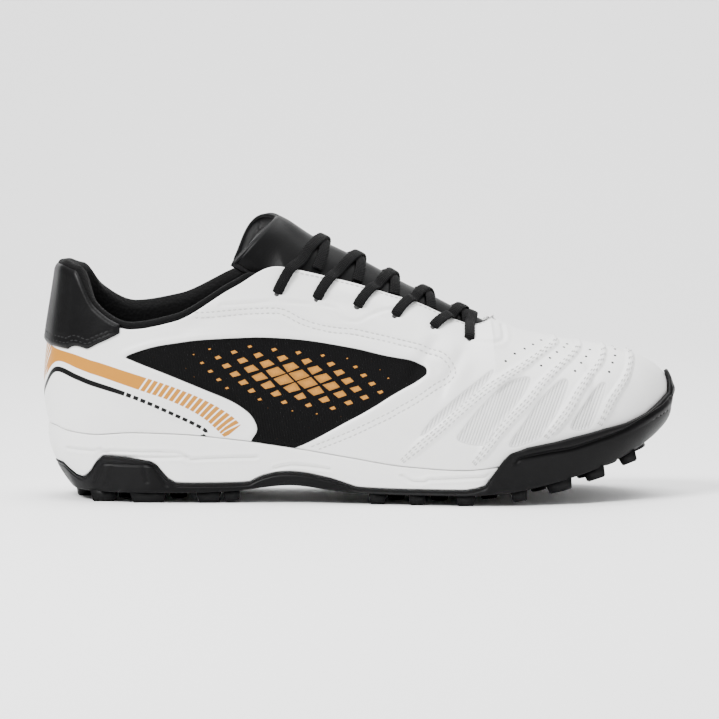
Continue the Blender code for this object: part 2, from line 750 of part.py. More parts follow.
# Heel patch and collar
def make_heel_patch(parts):
    """Black overlay on the heel, cut from the upper's own curves."""
    edge = np.array(PATCH_EDGE)
    rows = heel_rows(edge[-1, 0])
    shape = bmesh.new()
    points = []
    for level in np.linspace(0, 1, 4):
        line = []
        for row in rows:
            start = float(np.interp(abs(row), edge[:, 0], edge[:, 1]))
            along = start + (0.99 - start) * level
            line.append(upper_offset(row % RING, along, CLEAR + PATCH_THICKNESS))
        points.append(line)
    add_grid(shape, points, False)
    patch = new_object("heel_patch", finish_mesh(shape, "heel_patch"), parts)
    skin = patch.modifiers.new("skin", 'SOLIDIFY')
    skin.thickness = PATCH_THICKNESS
    skin.offset = -1
    patch.data.materials.append(make_material("black_patch", (0.015, 0.015, 0.016), 0.35))
    return patch


def collar_section(place):
    """Closed section of the padded collar at a place on the ring."""
    top = upper_point(place, 1.0)
    normal = upper_normal(place, 0.97)
    upward = top - upper_point(place, 0.93)
    upward = upward / np.linalg.norm(upward)
    seat = WALL + SEAT_CLEAR
    deep = 1.0
    while np.linalg.norm(upper_point(place, deep) - top) < COLLAR_DEPTH:
        deep -= 0.01
    half = (1 + deep) / 2
    return [
        upper_offset(place, deep, -seat),
        upper_offset(place, half, -seat),
        top - normal * seat,
        top - normal * seat + upward * CLEAR,
        top + upward * CLEAR,
        top + upward * COLLAR_ROLL * 0.6 - normal * WALL * 0.1,
        top + upward * COLLAR_ROLL - normal * COLLAR_PAD * 0.35,
        top + upward * COLLAR_ROLL * 0.9 - normal * COLLAR_PAD * 0.8,
        top + upward * COLLAR_ROLL * 0.2 - normal * (seat + COLLAR_PAD * 0.85),
        upper_offset(place, half, -(seat + COLLAR_PAD)),
        upper_offset(place, deep, -(seat + COLLAR_PAD * 0.3)),
    ]


def make_collar(parts):
    """Padded lining round the collar, from one side of the throat to the other."""
    sections = [collar_section(row % RING) for row in heel_rows(COLLAR_END_ROW)]
    collar = new_object("collar", tube_body("collar", sections), parts)
    collar.data.materials.append(make_material("black_cloth", (0.02, 0.02, 0.02), 0.9))
    return collar


# Tongue
def tongue_crown(row):
    """How far the tongue's ridge stands above the line between the throat's edges."""
    share = float(gap_share(read("top_x", row)))
    shape = np.array(TONGUE_SHAPE)
    return TONGUE_LIFT * float(np.interp(row, shape[:, 0], shape[:, 1])) * share ** 2


def tongue_wing(place):
    """Points of the tongue under the upper on one side, from its edge to the throat's edge."""
    closed = 1 - float(gap_share(read("top_x", place)))
    depth = -(WALL + SEAT_CLEAR * (1.15 + 2 * closed))
    low = upper_offset(place, 1 - 1 / WALL_ROWS, depth)
    high = upper_offset(place, 1.0, depth)
    high = high + (low - high) * TONGUE_CLOSED_HALF * closed
    return [low, (low + high) / 2, high]


def tongue_face(row, across):
    """Point of the tongue's outer face between the throat's edges, across from -1 to 1."""
    lateral = tongue_wing(row)[-1]
    medial = tongue_wing(RING - row)[-1]
    rise = tongue_crown(row) * (1 - abs(across) ** 2.2)
    level = lateral * (1 - across) / 2 + medial * (1 + across) / 2
    shape = np.array(TONGUE_SHAPE)
    slant = float(np.interp(row, shape[:, 0], shape[:, 2]))
    return level + np.array([slant * rise, 0, rise])


def tongue_line(row):
    """Points across the tongue's outer face in the throat, lateral edge first."""
    arch = [tongue_face(row, across) for across in (-0.66, -0.33, 0, 0.33, 0.66)]
    return tongue_wing(row) + arch + tongue_wing(RING - row)[::-1]


def flap_line(row):
    """Points across the tongue above the throat, from one row of its table."""
    ridge_x, ridge_z, edge_x, edge_z, half = row
    height = UPPER_RISE + SOLE_STACK
    points = []
    for turn in np.linspace(-90, 90, 11):
        bend = 1 - math.cos(math.radians(turn))
        x = (ridge_x + (edge_x - ridge_x) * bend) * SHOE_LENGTH - SHOE_LENGTH / 2
        z = (ridge_z + (edge_z - ridge_z) * bend) * height
        points.append(np.array([x, half * BALL_WIDTH * math.sin(math.radians(turn)), z]))
    return points


def make_tongue(parts):
    """Padded tongue from under the vamp to its curled top."""
    rows = [row for row in upper_rows() if TONGUE_FIRST_ROW < row < TONGUE_LAST_ROW]
    rows = spaced(rows, 0.3)[::-1]
    lines = [tongue_line(row) for row in rows] + [flap_line(row) for row in FLAP]
    outer = np.array(lines)
    along = np.gradient(outer, axis=0)
    across = np.gradient(outer, axis=1)
    inward = np.cross(along, across)
    inward = inward / np.linalg.norm(inward, axis=-1, keepdims=True)
    inward = inward * np.where(inward[len(rows) // 2, 5, 2] > 0, -1, 1)
    count = outer.shape[1]
    place = np.abs(np.linspace(-1, 1, count))
    pad = TONGUE_PAD + (TONGUE_EDGE - TONGUE_PAD) * place ** 2
    front = np.clip(np.linspace(0, 2.2, len(lines)), 0.35, 1)
    inner = outer + inward * (front[:, None] * pad[None, :])[..., None]
    sections = [list(outer[i]) + list(inner[i][::-1]) for i in range(len(lines))]
    tongue = new_object("tongue", tube_body("tongue", sections), parts)
    tongue.data.materials.append(make_material("black_tongue", (0.02, 0.02, 0.02), 0.6))
    return tongue


# Lace
def throat_row(share):
    """Row of the throat at a share of the length."""
    return place_where("top_x", share * SHOE_LENGTH - SHOE_LENGTH / 2, 6.5, 12)


def tongue_normal(row, across):
    """Direction out of the tongue's outer face."""
    toeward = tongue_face(row + 0.05, across) - tongue_face(row - 0.05, across)
    medial = tongue_face(row, across + 0.05) - tongue_face(row, across - 0.05)
    normal = np.cross(toeward, medial)
    return normal / np.linalg.norm(normal)


def on_eyestay(share, side):
    """Spots from an eyelet to the throat's edge: points above the upper and their normals."""
    place, along = eyelet_place(share, side)
    alongs = [along + (1 - along) * step for step in (0.15, 0.6, 1.0)]
    return [(upper_offset(place, at, LACE_LIFT), upper_normal(place, at)) for at in alongs]


def over_tongue(start_share, end_share, side, steps):
    """Spots above the tongue on the way from one side's eyelet to the other side's."""
    spots = []
    for step in steps:
        row = throat_row(start_share + (end_share - start_share) * (1 + step) / 2 * LACE_TUCK)
        row = max(row, TONGUE_FIRST_ROW + 0.1)
        lift = LACE_LIFT + LACE_CREST * (1 - abs(step))
        normal = tongue_normal(row, -side * step)
        spots.append((tongue_face(row, -side * step) + normal * lift, normal))
    return spots


def strap_spots(start_share, end_share, side):
    """Spots of a strap: from outside an eyelet, over the tongue, to the far throat edge."""
    across = over_tongue(start_share, end_share, side, (-0.5, -0.15, 0.2, 0.5, 0.75))
    return on_eyestay(start_share, side) + across


def smooth_line(given, count):
    """More points on a smooth line through the given ones."""
    given = np.array(given)
    slopes = np.gradient(given, axis=0)
    line = []
    for place in np.linspace(0, len(given) - 1, count):
        i = min(int(place), len(given) - 2)
        t = place - i
        line.append(given[i] * (1 + 2 * t) * (1 - t) ** 2 + given[i + 1] * t * t * (3 - 2 * t)
                    + slopes[i] * t * (1 - t) ** 2 - slopes[i + 1] * t * t * (1 - t))
    return line


def strap_sections(spots, count):
    """Flat sections along a strap through its spots, square to their normals."""
    points = smooth_line([spot[0] for spot in spots], count)
    normals = smooth_line([spot[1] for spot in spots], count)
    sections = []
    for i, point in enumerate(points):
        ahead = points[min(i + 1, count - 1)] - points[max(i - 1, 0)]
        level = np.cross(ahead, normals[i])
        level = level / np.linalg.norm(level) * LACE_WIDTH / 2
        thick = np.cross(level, ahead)
        thick = thick / np.linalg.norm(thick) * LACE_THICKNESS / 2
        sections.append([point - level - thick, point + level - thick,
                         point + level + thick, point - level + thick])
    return sections


def make_laces(parts, cutters):
    """Five crossings and the straight bar nearest the toe."""
    black = make_material("black_lace", (0.012, 0.012, 0.012), 0.8)
    pairs = list(zip(EYELETS, EYELETS[1:]))
    for number, (upper_share, lower_share) in enumerate(pairs):
        straps = []
        for side in (-1, 1):
            spots = strap_spots(upper_share, lower_share, side)
            straps.append(tube_body(f"strap_{number + 1}", strap_sections(spots, 9)))
        cross = new_object(f"lace_cross_{number + 1}", straps[0], parts)
        other = as_helper(new_object(f"strap_back_{number + 1}", straps[1], cutters))
        add_boolean(cross, other, 'UNION')
        cross.data.materials.append(black)
    last = EYELETS[-1]
    middle = over_tongue(last, last, -1, (-0.5, 0, 0.5))
    ends = [on_eyestay(last, side) for side in (-1, 1)]
    sections = strap_sections(ends[0] + middle + ends[1][::-1], 11)
    bar = new_object("lace_bar", tube_body("lace_bar", sections), parts)
    bar.data.materials.append(black)


def main():
    """Build the whole shoe."""
    for thing in list(bpy.data.objects):
        bpy.data.objects.remove(thing, do_unlink=True)
    parts = new_collection("turf_shoe")
    cutters = new_collection("cutters")
    make_outsole(parts, cutters)
    make_midsole(parts)
    make_upper(parts, cutters)
    make_insole(parts)
    make_tongue(parts)
    make_collar(parts)
    make_heel_patch(parts)
    make_laces(parts, cutters)


main()
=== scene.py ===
"""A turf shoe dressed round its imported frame: leather, cloth, foam, rubber, laces and stitches."""
import math

import bmesh
import bpy
import numpy as np
from bpy.props import FloatProperty, FloatVectorProperty, IntProperty, PointerProperty
from mathutils import Matrix, Vector


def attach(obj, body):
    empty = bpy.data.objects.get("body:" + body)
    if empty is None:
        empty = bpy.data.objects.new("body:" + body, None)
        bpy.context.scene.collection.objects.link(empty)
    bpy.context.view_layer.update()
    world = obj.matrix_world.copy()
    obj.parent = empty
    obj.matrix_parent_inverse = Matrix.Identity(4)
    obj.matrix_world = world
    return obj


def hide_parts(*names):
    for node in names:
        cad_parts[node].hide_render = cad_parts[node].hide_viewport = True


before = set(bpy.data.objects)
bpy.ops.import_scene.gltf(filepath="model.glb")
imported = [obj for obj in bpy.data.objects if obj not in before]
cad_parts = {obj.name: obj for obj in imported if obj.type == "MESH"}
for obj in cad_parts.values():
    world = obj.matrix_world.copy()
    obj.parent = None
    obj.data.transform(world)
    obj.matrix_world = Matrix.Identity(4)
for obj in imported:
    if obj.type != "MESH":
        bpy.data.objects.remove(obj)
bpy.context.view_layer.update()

bl_info = {
    "name": "Turf Shoe",
    "version": (1, 0, 0),
    "blender": (4, 5, 0),
    "location": "View3D > Sidebar > Turf Shoe",
    "description": "Makes the dressed pieces of a turf shoe round its packed solids",
    "category": "Add Mesh",
}

# Sizes in metres and shares that the solids have too
SHOE_LENGTH = 0.280
BALL_WIDTH = 0.100
UPPER_RISE = 0.070
SOLE_STACK = 0.0257
STUD_HEIGHT = 0.0045
TOE_SPRING = 0.025
ARCH_RISE = 0.0034
WALL = 0.0022
CLEAR = 0.0003
SEAT_CLEAR = 0.0005
RUBBER_WALL = 0.0017
RUBBER_SHEET = 0.0017
MIDSOLE_STEP = 0.0005
INSOLE_THICKNESS = 0.0035
THROAT_END = 0.7071
THROAT_ROUND = 0.011
COLLAR_ROLL = 0.0036
COLLAR_PAD = 0.0055
COLLAR_DEPTH = 0.026
COLLAR_END_ROW = 6.55
TONGUE_PAD = 0.0055
TONGUE_EDGE = 0.0022
TONGUE_LIFT = 0.0105
TONGUE_CLOSED_HALF = 0.45
TONGUE_SHAPE = ((7.0, 1.45, .65), (8.0, 1.00, .60), (9.0, .68, .35), (11.0, .55, .20))
TONGUE_ROWS = (11.25, 10.75, 10.4, 10.0, 9.45, 9.0, 8.55, 8.1, 7.65, 7.2)
FLAP = (
    (.391, 1.272, .345, 1.010, .195),
    (.374, 1.297, .303, 1.080, .185),
)
LACE_WIDTH = 0.0047
LACE_THICKNESS = 0.0011
LACE_LEAN = 0.022
EYELET_RADIUS = 0.0021
EYELET_INSET = 0.0125
LEDGE = 0.0008
COVER_FROM = 0.690
COVER_FULL = 0.704
EYELETS = (.372, .435, .500, .560, .620, .674)
PATCH_EDGE = ((0.0, .56), (0.9, .54), (2.0, .55), (2.8, .67), (3.4, .84), (3.75, .95))
THROAT_ROWS = 11
FADE_BEFORE = 0.018
FADE_AFTER = 0.008

# How the lace lies, in metres, and how many sections its straps have
STRAP_SUNK = 0.0013
STRAP_ON_LEATHER = ((0.10, 0.0004), (0.3, 0.0010), (0.65, 0.0011), (0.95, 0.0011))
STRAP_ON_TONGUE = 0.0007
STRAP_CROWN = 0.0006
CROSSING_LIFT = 0.0013
BAR_SUNK = 0.0006
BAR_ON_LEATHER = 0.0009
BAR_ON_TONGUE = 0.0016
STRAP_SECTIONS = 90
BAR_SECTIONS = 70
WEAVE_DEPTH = 0.03
WEAVE_PER_MM = 2.4

# Stitches and holes: length, width and height in metres, and where their rows lie
WHITE_STITCH = (0.0019, 0.00075, 0.0005)
BLACK_STITCH = (0.0020, 0.0006, 0.00045)
PUNCHED_HOLE = (0.0012, 0.0012, 0.0001)
EYELET_DISC = (1.3 * EYELET_RADIUS, 1.3 * EYELET_RADIUS, 0.0001)
EYELET_DISC_SUNK = 0.00028
QUARTER_PITCH_MM = 2.4
RIB_PITCH_MM = 2.5
STITCH_RISE_MM = 0.16
HOLE_RISE_MM = 0.03
THROAT_STITCH_SHARE = 0.972
THROAT_STITCH_RISE = 0.00012
THROAT_PITCH = 0.0022
PATCH_PITCH = 0.0023
PATCH_ROWS_MM = (3.0, 5.6)
PATCH_CURVE_MM = 85.0
PATCH_STITCH_RISE = 0.0003 + 0.00105

# The studio, in metres
FLOOR_HALF_WIDTH = 2.5
FLOOR_FRONT = -1.2
FLOOR_BACK = 0.9
FLOOR_CURVE = 0.6
BACKDROP_TOP = 2.4
SENSOR_MM = 36
SEEN_WIDTH = 0.3183

# One row for each section of the upper, as the solids have it
SECTION_COLUMNS = (
    "along", "lateral", "medial", "stack", "spring", "arch", "foot",
    "top", "high_lateral", "high_medial", "sag", "open_lateral", "open_medial", "mid",
    "flare", "up", "lean", "fall",
)
SECTIONS = (
    (.0103, .000, .000, 1.11, .00, .00, -.105, .025, .98, .98, 0, .000, .000, 0, .060, .28, .036, .38),
    (.0212, .135, .135, 1.10, .00, .00, -.095, .034, .98, .98, 0, .095, .095, 0, .050, .28, .026, .38),
    (.0464, .220, .215, 1.02, .00, .00, -.060, .055, .98, .98, 0, .170, .165, 0, .045, .30, .025, .38),
    (.0875, .285, .275, 0.98, .00, .00, -.010, .088, .77, .85, 0, .245, .240, 0, .040, .30, .030, .36),
    (.1464, .320, .305, 1.02, .00, .00, .020, .143, .64, .73, 0, .295, .290, 0, .035, .33, .030, .36),
    (.2179, .335, .310, 1.00, .00, .00, .025, .214, .70, .78, 0, .315, .305, 0, .030, .33, .030, .36),
    (.3036, .340, .295, 0.88, .00, .25, .020, .304, .94, .98, 0, .300, .290, .005, .025, .33, .045, .30),
    (.3929, .355, .280, 0.65, .00, 1.0, .010, .379, 1.115, 1.12, 0, .255, .245, .010, .020, .34, .085, .22),
    (.4821, .385, .290, 0.60, .00, .20, .015, .479, 1.11, 1.12, .03, .200, .190, .015, .015, .36, .14, .14),
    (.5714, .425, .335, 0.48, .00, .00, .025, .571, 1.08, 1.08, .057, .165, .160, .020, .015, .36, .18, .11),
    (.6571, .465, .400, 0.43, .00, .00, .030, .654, .97, .97, .071, .125, .120, .025, .015, .36, .22, .09),
    (.7286, .467, .455, 0.46, .05, .00, .030, .718, .86, .86, .071, .100, .100, .030, .015, .36, .27, .05),
    (.7893, .435, .475, 0.45, .18, .00, .025, .761, .755, .755, 0, .080, .080, .035, .015, .38, .27, 0),
    (.8446, .378, .467, 0.43, .34, .00, .020, .796, .670, .670, 0, .060, .060, .042, .015, .40, .26, 0),
    (.8929, .303, .425, 0.41, .52, .00, .010, .825, .590, .590, 0, .040, .040, .048, .018, .42, .25, 0),
    (.9339, .212, .360, 0.39, .70, .00, -.005, .846, .521, .521, 0, .030, .030, .052, .022, .46, .25, 0),
    (.9643, .110, .280, 0.39, .86, .00, -.020, .861, .457, .457, 0, .020, .020, .056, .028, .50, .27, 0),
    (.9830, .008, .188, 0.39, .96, .00, -.030, .869, .417, .417, 0, .010, .010, .058, .035, .53, .29, 0),
    (.9886, -.090, .090, 0.39, 1.0, .00, -.035, .871, .401, .401, 0, .000, .000, .060, .040, .53, .29, 0),
)

HEEL_ROW = 3.0
RING = 2 * (len(SECTIONS) - 1)
LAST_ROW = len(SECTIONS) - 1
WALL_ROWS = 6

RUBBER_EDGE = (
    (.000, .48), (.029, .44), (.039, .35), (.053, .25), (.064, .23), (.072, .27), (.081, .36),
    (.090, .51), (.101, .62), (.137, .59), (.176, .52), (.186, .455), (.195, .34), (.203, .24),
    (.215, .165), (.243, .155), (.331, .125), (.340, .17), (.350, .20), (.371, .23), (.391, .23),
    (.422, .225), (.457, .20), (.477, .155), (.494, .10), (.514, .075), (.666, .09), (.684, .12),
    (.696, .16), (.704, .29), (.716, .46), (.722, .55), (.734, .66), (.760, .71), (.801, .69),
    (.833, .68), (.882, .63), (.915, .57), (.948, .56), (.964, .60), (.983, .68), (.9886, .97),
)

EDGE_STUDS = (
    (.101, .120), (.172, .165), (.266, .110), (.302, .075), (.530, .080), (.592, .078),
    (.666, .088), (.747, .074), (.809, .120), (.865, .100), (.922, .085),
)
# Studs inside the outline: share of the length, share of the way across from the outer edge
INNER_STUDS = (
    (.058, .5), (.135, .34), (.135, .66), (.216, .34), (.216, .66), (.262, .5),
    (.560, .32), (.560, .68), (.628, .28), (.628, .72), (.592, .5), (.664, .5), (.705, .30),
    (.705, .70), (.745, .5), (.780, .28), (.780, .72), (.822, .5), (.852, .30), (.852, .70),
    (.895, .5), (.945, .62),
)
EDGE_STUD_WIDTH = 0.0085
INNER_STUD_SIZE = 0.0078
STUD_TAPER = 0.80
STUD_INSET = 0.0050

# Outline of the cloth window
WINDOW_EDGE = (
    (-103.2, 1.5), (-92.5, 5.3), (-81.2, 7.3), (-69.7, 8.7), (-50.7, 9.7), (-40.9, 9.8), (-23.7, 8.6),
    (-2.4, 5.1), (10.4, 2.1), (23.2, -0.4), (28.6, -2.6), (29.9, -5.5), (27.7, -8.2), (14.8, -15.7),
    (6.4, -21), (-4, -26.8), (-29.9, -39.6), (-47.6, -38.3), (-45.4, -31.2), (-47.6, -25.5),
    (-52, -21.5), (-58.2, -17.9), (-69.7, -13.1), (-84.8, -6.9), (-100.3, -0.7),
)

# Outer row of the double stitching round the window's panel
QUARTER_SEAM = (
    (-73.3, 20.8), (-66.6, 21), (-51.1, 22.4), (-37.4, 22.8), (-32.1, 21.6), (-26.3, 18.5),
    (-20.1, 16.2), (-11.7, 14.4), (-2.4, 13.5), (6.4, 11.7), (17.5, 9.1), (27.7, 6.4), (36.1, 3.3),
    (40.5, -0.4), (42.7, -4.6), (40.5, -9.1), (34.5, -12.9), (25.9, -18.8), (17.5, -23.6),
    (13.1, -26.1), (-4.2, -34.3), (-21, -40.9),
)

# Pressed line under the throat
WAVE_LINE = (
    (-61.3, 24.1), (-48.5, 25), (-36.5, 25.9), (-27.2, 25.3), (-19.3, 24.3), (-11.7, 23.2),
    (-9.1, 20.1), (-6.4, 17.5), (-0.7, 17), (4.2, 19.3), (8.9, 21.5), (16.6, 22.4),
)

# Pressed line round the toe end of the throat
THROAT_LINE = (
    (52, 8.2), (56, 7.7), (60.4, 7.7), (63.1, 8.6), (64, 10), (63.7, 13.1), (63.1, 15.3),
)

# Rows of punched holes on the vamp
PUNCHED_ROWS = (
    ((64.7, -0.7), (68.7, 2.6), (73.1, 4.8), (76.8, 6.7), (80.4, 8.6),),
    ((80.4, -2.7), (84.3, 0.7), (87.4, 3.3), (90.5, 5.5), (91.9, 6.9),),
    ((95.4, -5.1), (98.1, -1.5), (100.3, 1.4), (102, 4.4),),
    ((110.5, -5.5), (112, -1.4), (113.1, 1.8), (113.1, 4.6),),
)

# Middle lines of the stitched ribs
RIBS = (
    ((84.1, 10), (86.4, 8.2), (85.9, 6.9), (78.6, 1.5), (71.3, -3.8), (64, -8.4), (54.7, -14.8),
     (45.8, -22.1), (36.5, -30.3), (27.2, -37.9), (18.4, -45.4),),
    ((95.4, 8.2), (96.9, 6.2), (94.1, 2), (87.9, -3.8), (80.4, -11.3), (75, -18.4), (67.5, -25.9),
     (60.4, -33.9), (54.7, -41.4), (50.2, -46.7),),
    ((106, 6.9), (107.8, 4.4), (106.5, -1.1), (101.6, -7.5), (96.7, -14.8), (93.2, -21.2),
     (87.9, -28.6), (82.1, -35),),
    ((118, 6), (119.3, 4.4), (119.8, -1.1), (118, -7.5), (115.3, -12.2), (111.3, -18.4), (108.2, -25),
     (106, -29.4),),
)

# Outlines of the cloth insets between the ribs
LEAVES = (
    ((59.1, -4.6), (54.7, -11.3), (45.8, -19.3), (36.5, -26.8), (27.2, -33.9), (32.1, -26.8),
     (40.9, -18.8), (50.7, -10.8),),
    ((75, -8), (73.3, -13.9), (67.5, -22.1), (60.4, -31.2), (55.6, -37.9), (43.8, -35.6),
     (46.3, -30.3), (54.7, -20.1), (65.7, -10.4),),
    ((92.1, -9.5), (91, -14.8), (87, -24.1), (82.1, -31.2), (78.1, -35.6), (66.6, -38.3),
     (73.3, -27.7), (80.4, -17.5), (88.8, -9.5),),
    ((108.7, -10.8), (107.8, -15.7), (104.3, -25), (101.6, -30.3), (95.8, -31.2), (94.1, -28.6),
     (100.7, -18.4), (106, -11.3),),
)

# Heel trim on the unrolled heel: top and lower edge of the gold band, from the heel's back forward
GOLD_BAND = (
    ((-156, 9.0), (-150, 7.4), (-143, 5.2), (-127.5, 1.8), (-116.2, -1.1), (-105.6, -4.6), (-95, -8),
     (-83.9, -11.7), (-72.4, -16.2), (-63.5, -20.6), (-56.4, -25.2), (-52.5, -29),),
    ((-156, -10.0), (-150, -6.2), (-140, -0.7), (-127.5, -3.8), (-116.2, -7.1), (-105.6, -10.8), (-95, -14.4),
     (-84.8, -17.9), (-75, -22.4), (-68, -26.8), (-62.6, -31.7), (-59.5, -34.8),),
)

# Heel trim: middle of the black line under the gold band
BLACK_LINE = (
    (-156, -15.0), (-150, -10.6), (-140.5, -4.2), (-127.5, -7.7), (-114.9, -11.7), (-103.4, -15.5),
    (-92.7, -19.7),
    (-81.7, -24.6), (-72.8, -28.8), (-68, -31.7), (-68.8, -33.9), (-71.1, -34.1),
)

# Grooves of the rubber's heel panel
PANEL_GROOVES = (
    ((-117.2, -53.9), (-113.9, -46.2), (-91.5, -47.0), (-85.7, -55.8),),
    ((-109.9, -47.7), (-112.1, -55.0),),
    ((-95.6, -47.7), (-94.1, -54.3),),
)

# Grooves of the midsole's side
MIDSOLE_GROOVES = (
    ((-129, -39.2), (-123.7, -39.9), (-117.5, -40.5),),
    ((-114.9, -39.6), (-112.2, -41.4), (-108.2, -42.7), (-92.7, -43.2), (-76.4, -43.2),),
    ((-111.8, -40.5), (-97.2, -40.9), (-80.8, -41.4), (-76.4, -43.2),),
    ((-76.4, -44.3), (-61.8, -43.6), (-45.8, -43.2),),
    ((-37.4, -48), (-33.4, -47.1), (-28.8, -46.7), (-21, -47.4), (-13.5, -48.5),),
    ((18.8, -51.6), (22.8, -53.8), (25.9, -54.2), (29.2, -54.2),),
    ((30.1, -53.3), (44.5, -52.7), (57.6, -52),),
)

# Groove along the toe bumper
BUMPER_GROOVE = (
    (69.3, -45.8), (71.5, -43.9), (82.6, -41.4), (94.1, -39.4), (103.8, -36.3), (113.1, -33),
    (120.2, -29.7), (126.4, -25.9), (131.3, -22.8), (134.8, -20.4), (137.9, -17),
)


# Curves through the sections
def ease(value, low, high):
    """0 below low and 1 above high, smooth between."""
    t = np.clip((value - low) / (high - low), 0, 1)
    return t * t * (3 - 2 * t)


def unit(vectors):
    """Vectors of length one."""
    return vectors / np.maximum(np.linalg.norm(vectors, axis=-1, keepdims=True), 1e-12)


def to_x(share):
    """Place along the shoe from a share of its length."""
    return share * SHOE_LENGTH - SHOE_LENGTH / 2


def bend(before, start, end, after, t):
    """Smooth curve from start to end that looks at the points before and after them."""
    return (2 * start + (end - before) * t + (2 * before - 5 * start + 4 * end - after) * t ** 2
            + (3 * start - before - 3 * end + after) * t ** 3) / 2


def table(rows, columns):
    """Column name to its values."""
    return {name: np.array([row[i] for row in rows], float) for i, name in enumerate(columns)}


def ring(lateral, medial):
    """Values round the ring: out along the lateral side, back along the medial one."""
    return np.concatenate([lateral, medial[-2:0:-1]])


def fair_slopes(values):
    """Slopes of the closed cubic spline through the values."""
    count = len(values)
    matrix = np.zeros((count, count))
    for i in range(count):
        matrix[i, i] = 4
        matrix[i, i - 1] = 1
        matrix[i, (i + 1) % count] = 1
    return np.linalg.solve(matrix, 3 * (np.roll(values, -1) - np.roll(values, 1)))


def held_slopes(values):
    """Slopes that never overshoot the values."""
    ahead = np.roll(values, -1) - values
    behind = values - np.roll(values, 1)
    steep = ahead + behind
    safe = np.where(np.abs(steep) < 1e-12, 1, steep)
    return np.where(ahead * behind > 0, 2 * ahead * behind / safe, 0)


def read_ring(values, slopes, place):
    """The curve through the ring's values at a place counted in rows."""
    place = np.asarray(place, float) % RING
    low = np.floor(place).astype(int) % RING
    high = (low + 1) % RING
    t = place - np.floor(place)
    a = values[low] * (1 + 2 * t) * (1 - t) ** 2 + values[high] * t * t * (3 - 2 * t)
    return a + slopes[low] * t * (1 - t) ** 2 - slopes[high] * t * t * (1 - t)


ROWS = table(SECTIONS, SECTION_COLUMNS)
FAIR = {
    "x": to_x(ring(ROWS["along"], ROWS["along"])),
    "y": ring(-ROWS["lateral"], ROWS["medial"]) * BALL_WIDTH,
}
SHEET = STUD_HEIGHT + ROWS["spring"] * TOE_SPRING + ROWS["arch"] * ARCH_RISE
BITE = SHEET + ROWS["stack"] * SOLE_STACK
HELD = {
    "sheet": ring(SHEET, SHEET),
    "bite": ring(BITE, BITE),
    "top_x": to_x(ring(ROWS["top"], ROWS["top"])),
    "high": ring(ROWS["high_lateral"], ROWS["high_medial"]) * UPPER_RISE,
    "open": ring(ROWS["open_lateral"], ROWS["open_medial"]) * BALL_WIDTH,
    **{name: ring(ROWS[name], ROWS[name]) * size for name, size in (
        ("foot", BALL_WIDTH), ("sag", UPPER_RISE), ("mid", BALL_WIDTH), ("flare", BALL_WIDTH), ("up", 1),
        ("lean", BALL_WIDTH), ("fall", 1))},
}
CURVES = {name: (values, fair_slopes(values)) for name, values in FAIR.items()}
CURVES.update({name: (values, held_slopes(values)) for name, values in HELD.items()})
RIDGE = BITE + ROWS["high_lateral"] * UPPER_RISE
RIDGE_X = to_x(ROWS["top"])[THROAT_ROWS:]
RIDGE_SLOPE = np.gradient(RIDGE[THROAT_ROWS:], RIDGE_X)
THROAT_X = to_x(THROAT_END)


def read(name, place):
    """One column at a place on the ring."""
    return read_ring(*CURVES[name], place)


def on_side(row, side):
    """Ring place of a row on one side."""
    return row if side < 0 else RING - row


def side_of(place):
    """-1 on the lateral side and 1 on the medial side."""
    return np.where(np.asarray(place, float) % RING <= LAST_ROW, -1.0, 1.0)


def outward(place):
    """Level direction that points out of the shoe at a place on the ring."""
    step = 0.02
    dx = read("x", place + step) - read("x", place - step)
    dy = read("y", place + step) - read("y", place - step)
    size = np.hypot(dx, dy)
    return np.stack([dy / size, -dx / size, np.zeros_like(size)], axis=-1)


def length_share(place):
    """Share of the length at a place on the ring."""
    return (read("x", place) + SHOE_LENGTH / 2) / SHOE_LENGTH


def gap_share(top_x):
    """1 along the throat, falling to 0 round its toe end."""
    into = np.clip((top_x - (THROAT_X - THROAT_ROUND)) / THROAT_ROUND, 0, 1)
    return np.sqrt(1 - into ** 2)


def broad_share(top_x):
    """Like the gap's share, but fading slowly, so that no crease runs down the vamp's side."""
    return 1 - ease(top_x, THROAT_X - FADE_BEFORE, THROAT_X + FADE_AFTER)


def ridge_slope(top_x):
    """Slope of the vamp's ridge toward the toe, from the table's rows beyond the throat."""
    return np.interp(top_x, RIDGE_X, RIDGE_SLOPE)


def upper_handles(place):
    """The four points of the section curve at a place on the ring, and its top edge's own shift."""
    place = np.asarray(place, float)
    foot = np.stack([read("x", place), read("y", place), read("bite", place)], axis=-1)
    top_x = read("top_x", place)
    share = gap_share(top_x)
    broad = broad_share(top_x)
    half = side_of(place) * read("open", place)
    top_y = read("mid", place) + half * broad
    top_z = read("bite", place) + read("high", place) - read("sag", place) * share ** 2
    top = np.stack([top_x, top_y, top_z], axis=-1)
    height = (top_z - foot[..., 2])[..., None]
    out = outward(place)
    rise = np.array([0, 0, 1.0])
    first = foot + out * read("flare", place)[..., None] + rise * height * read("up", place)[..., None]
    soft = share ** 3
    drop = (read("fall", place) * soft)[..., None]
    lean = out * read("lean", place)[..., None]
    keel = lean[..., :1] * (ridge_slope(top_x) * (1 - soft))[..., None]
    last = top + lean + rise * (keel - height * drop)
    return foot, first, last, top, half * (share - broad)


def upper_point(place, along):
    """Point on the upper's outer face, along from 0 at its lower edge to 1 at its top."""
    foot, first, last, top, shift = upper_handles(place)
    t = np.asarray(along, float)[..., None]
    sideways = np.array([0, 1.0, 0]) * shift[..., None] * t ** 6
    return (foot * (1 - t) ** 3 + first * 3 * t * (1 - t) ** 2
            + last * 3 * t * t * (1 - t) + top * t ** 3 + sideways)


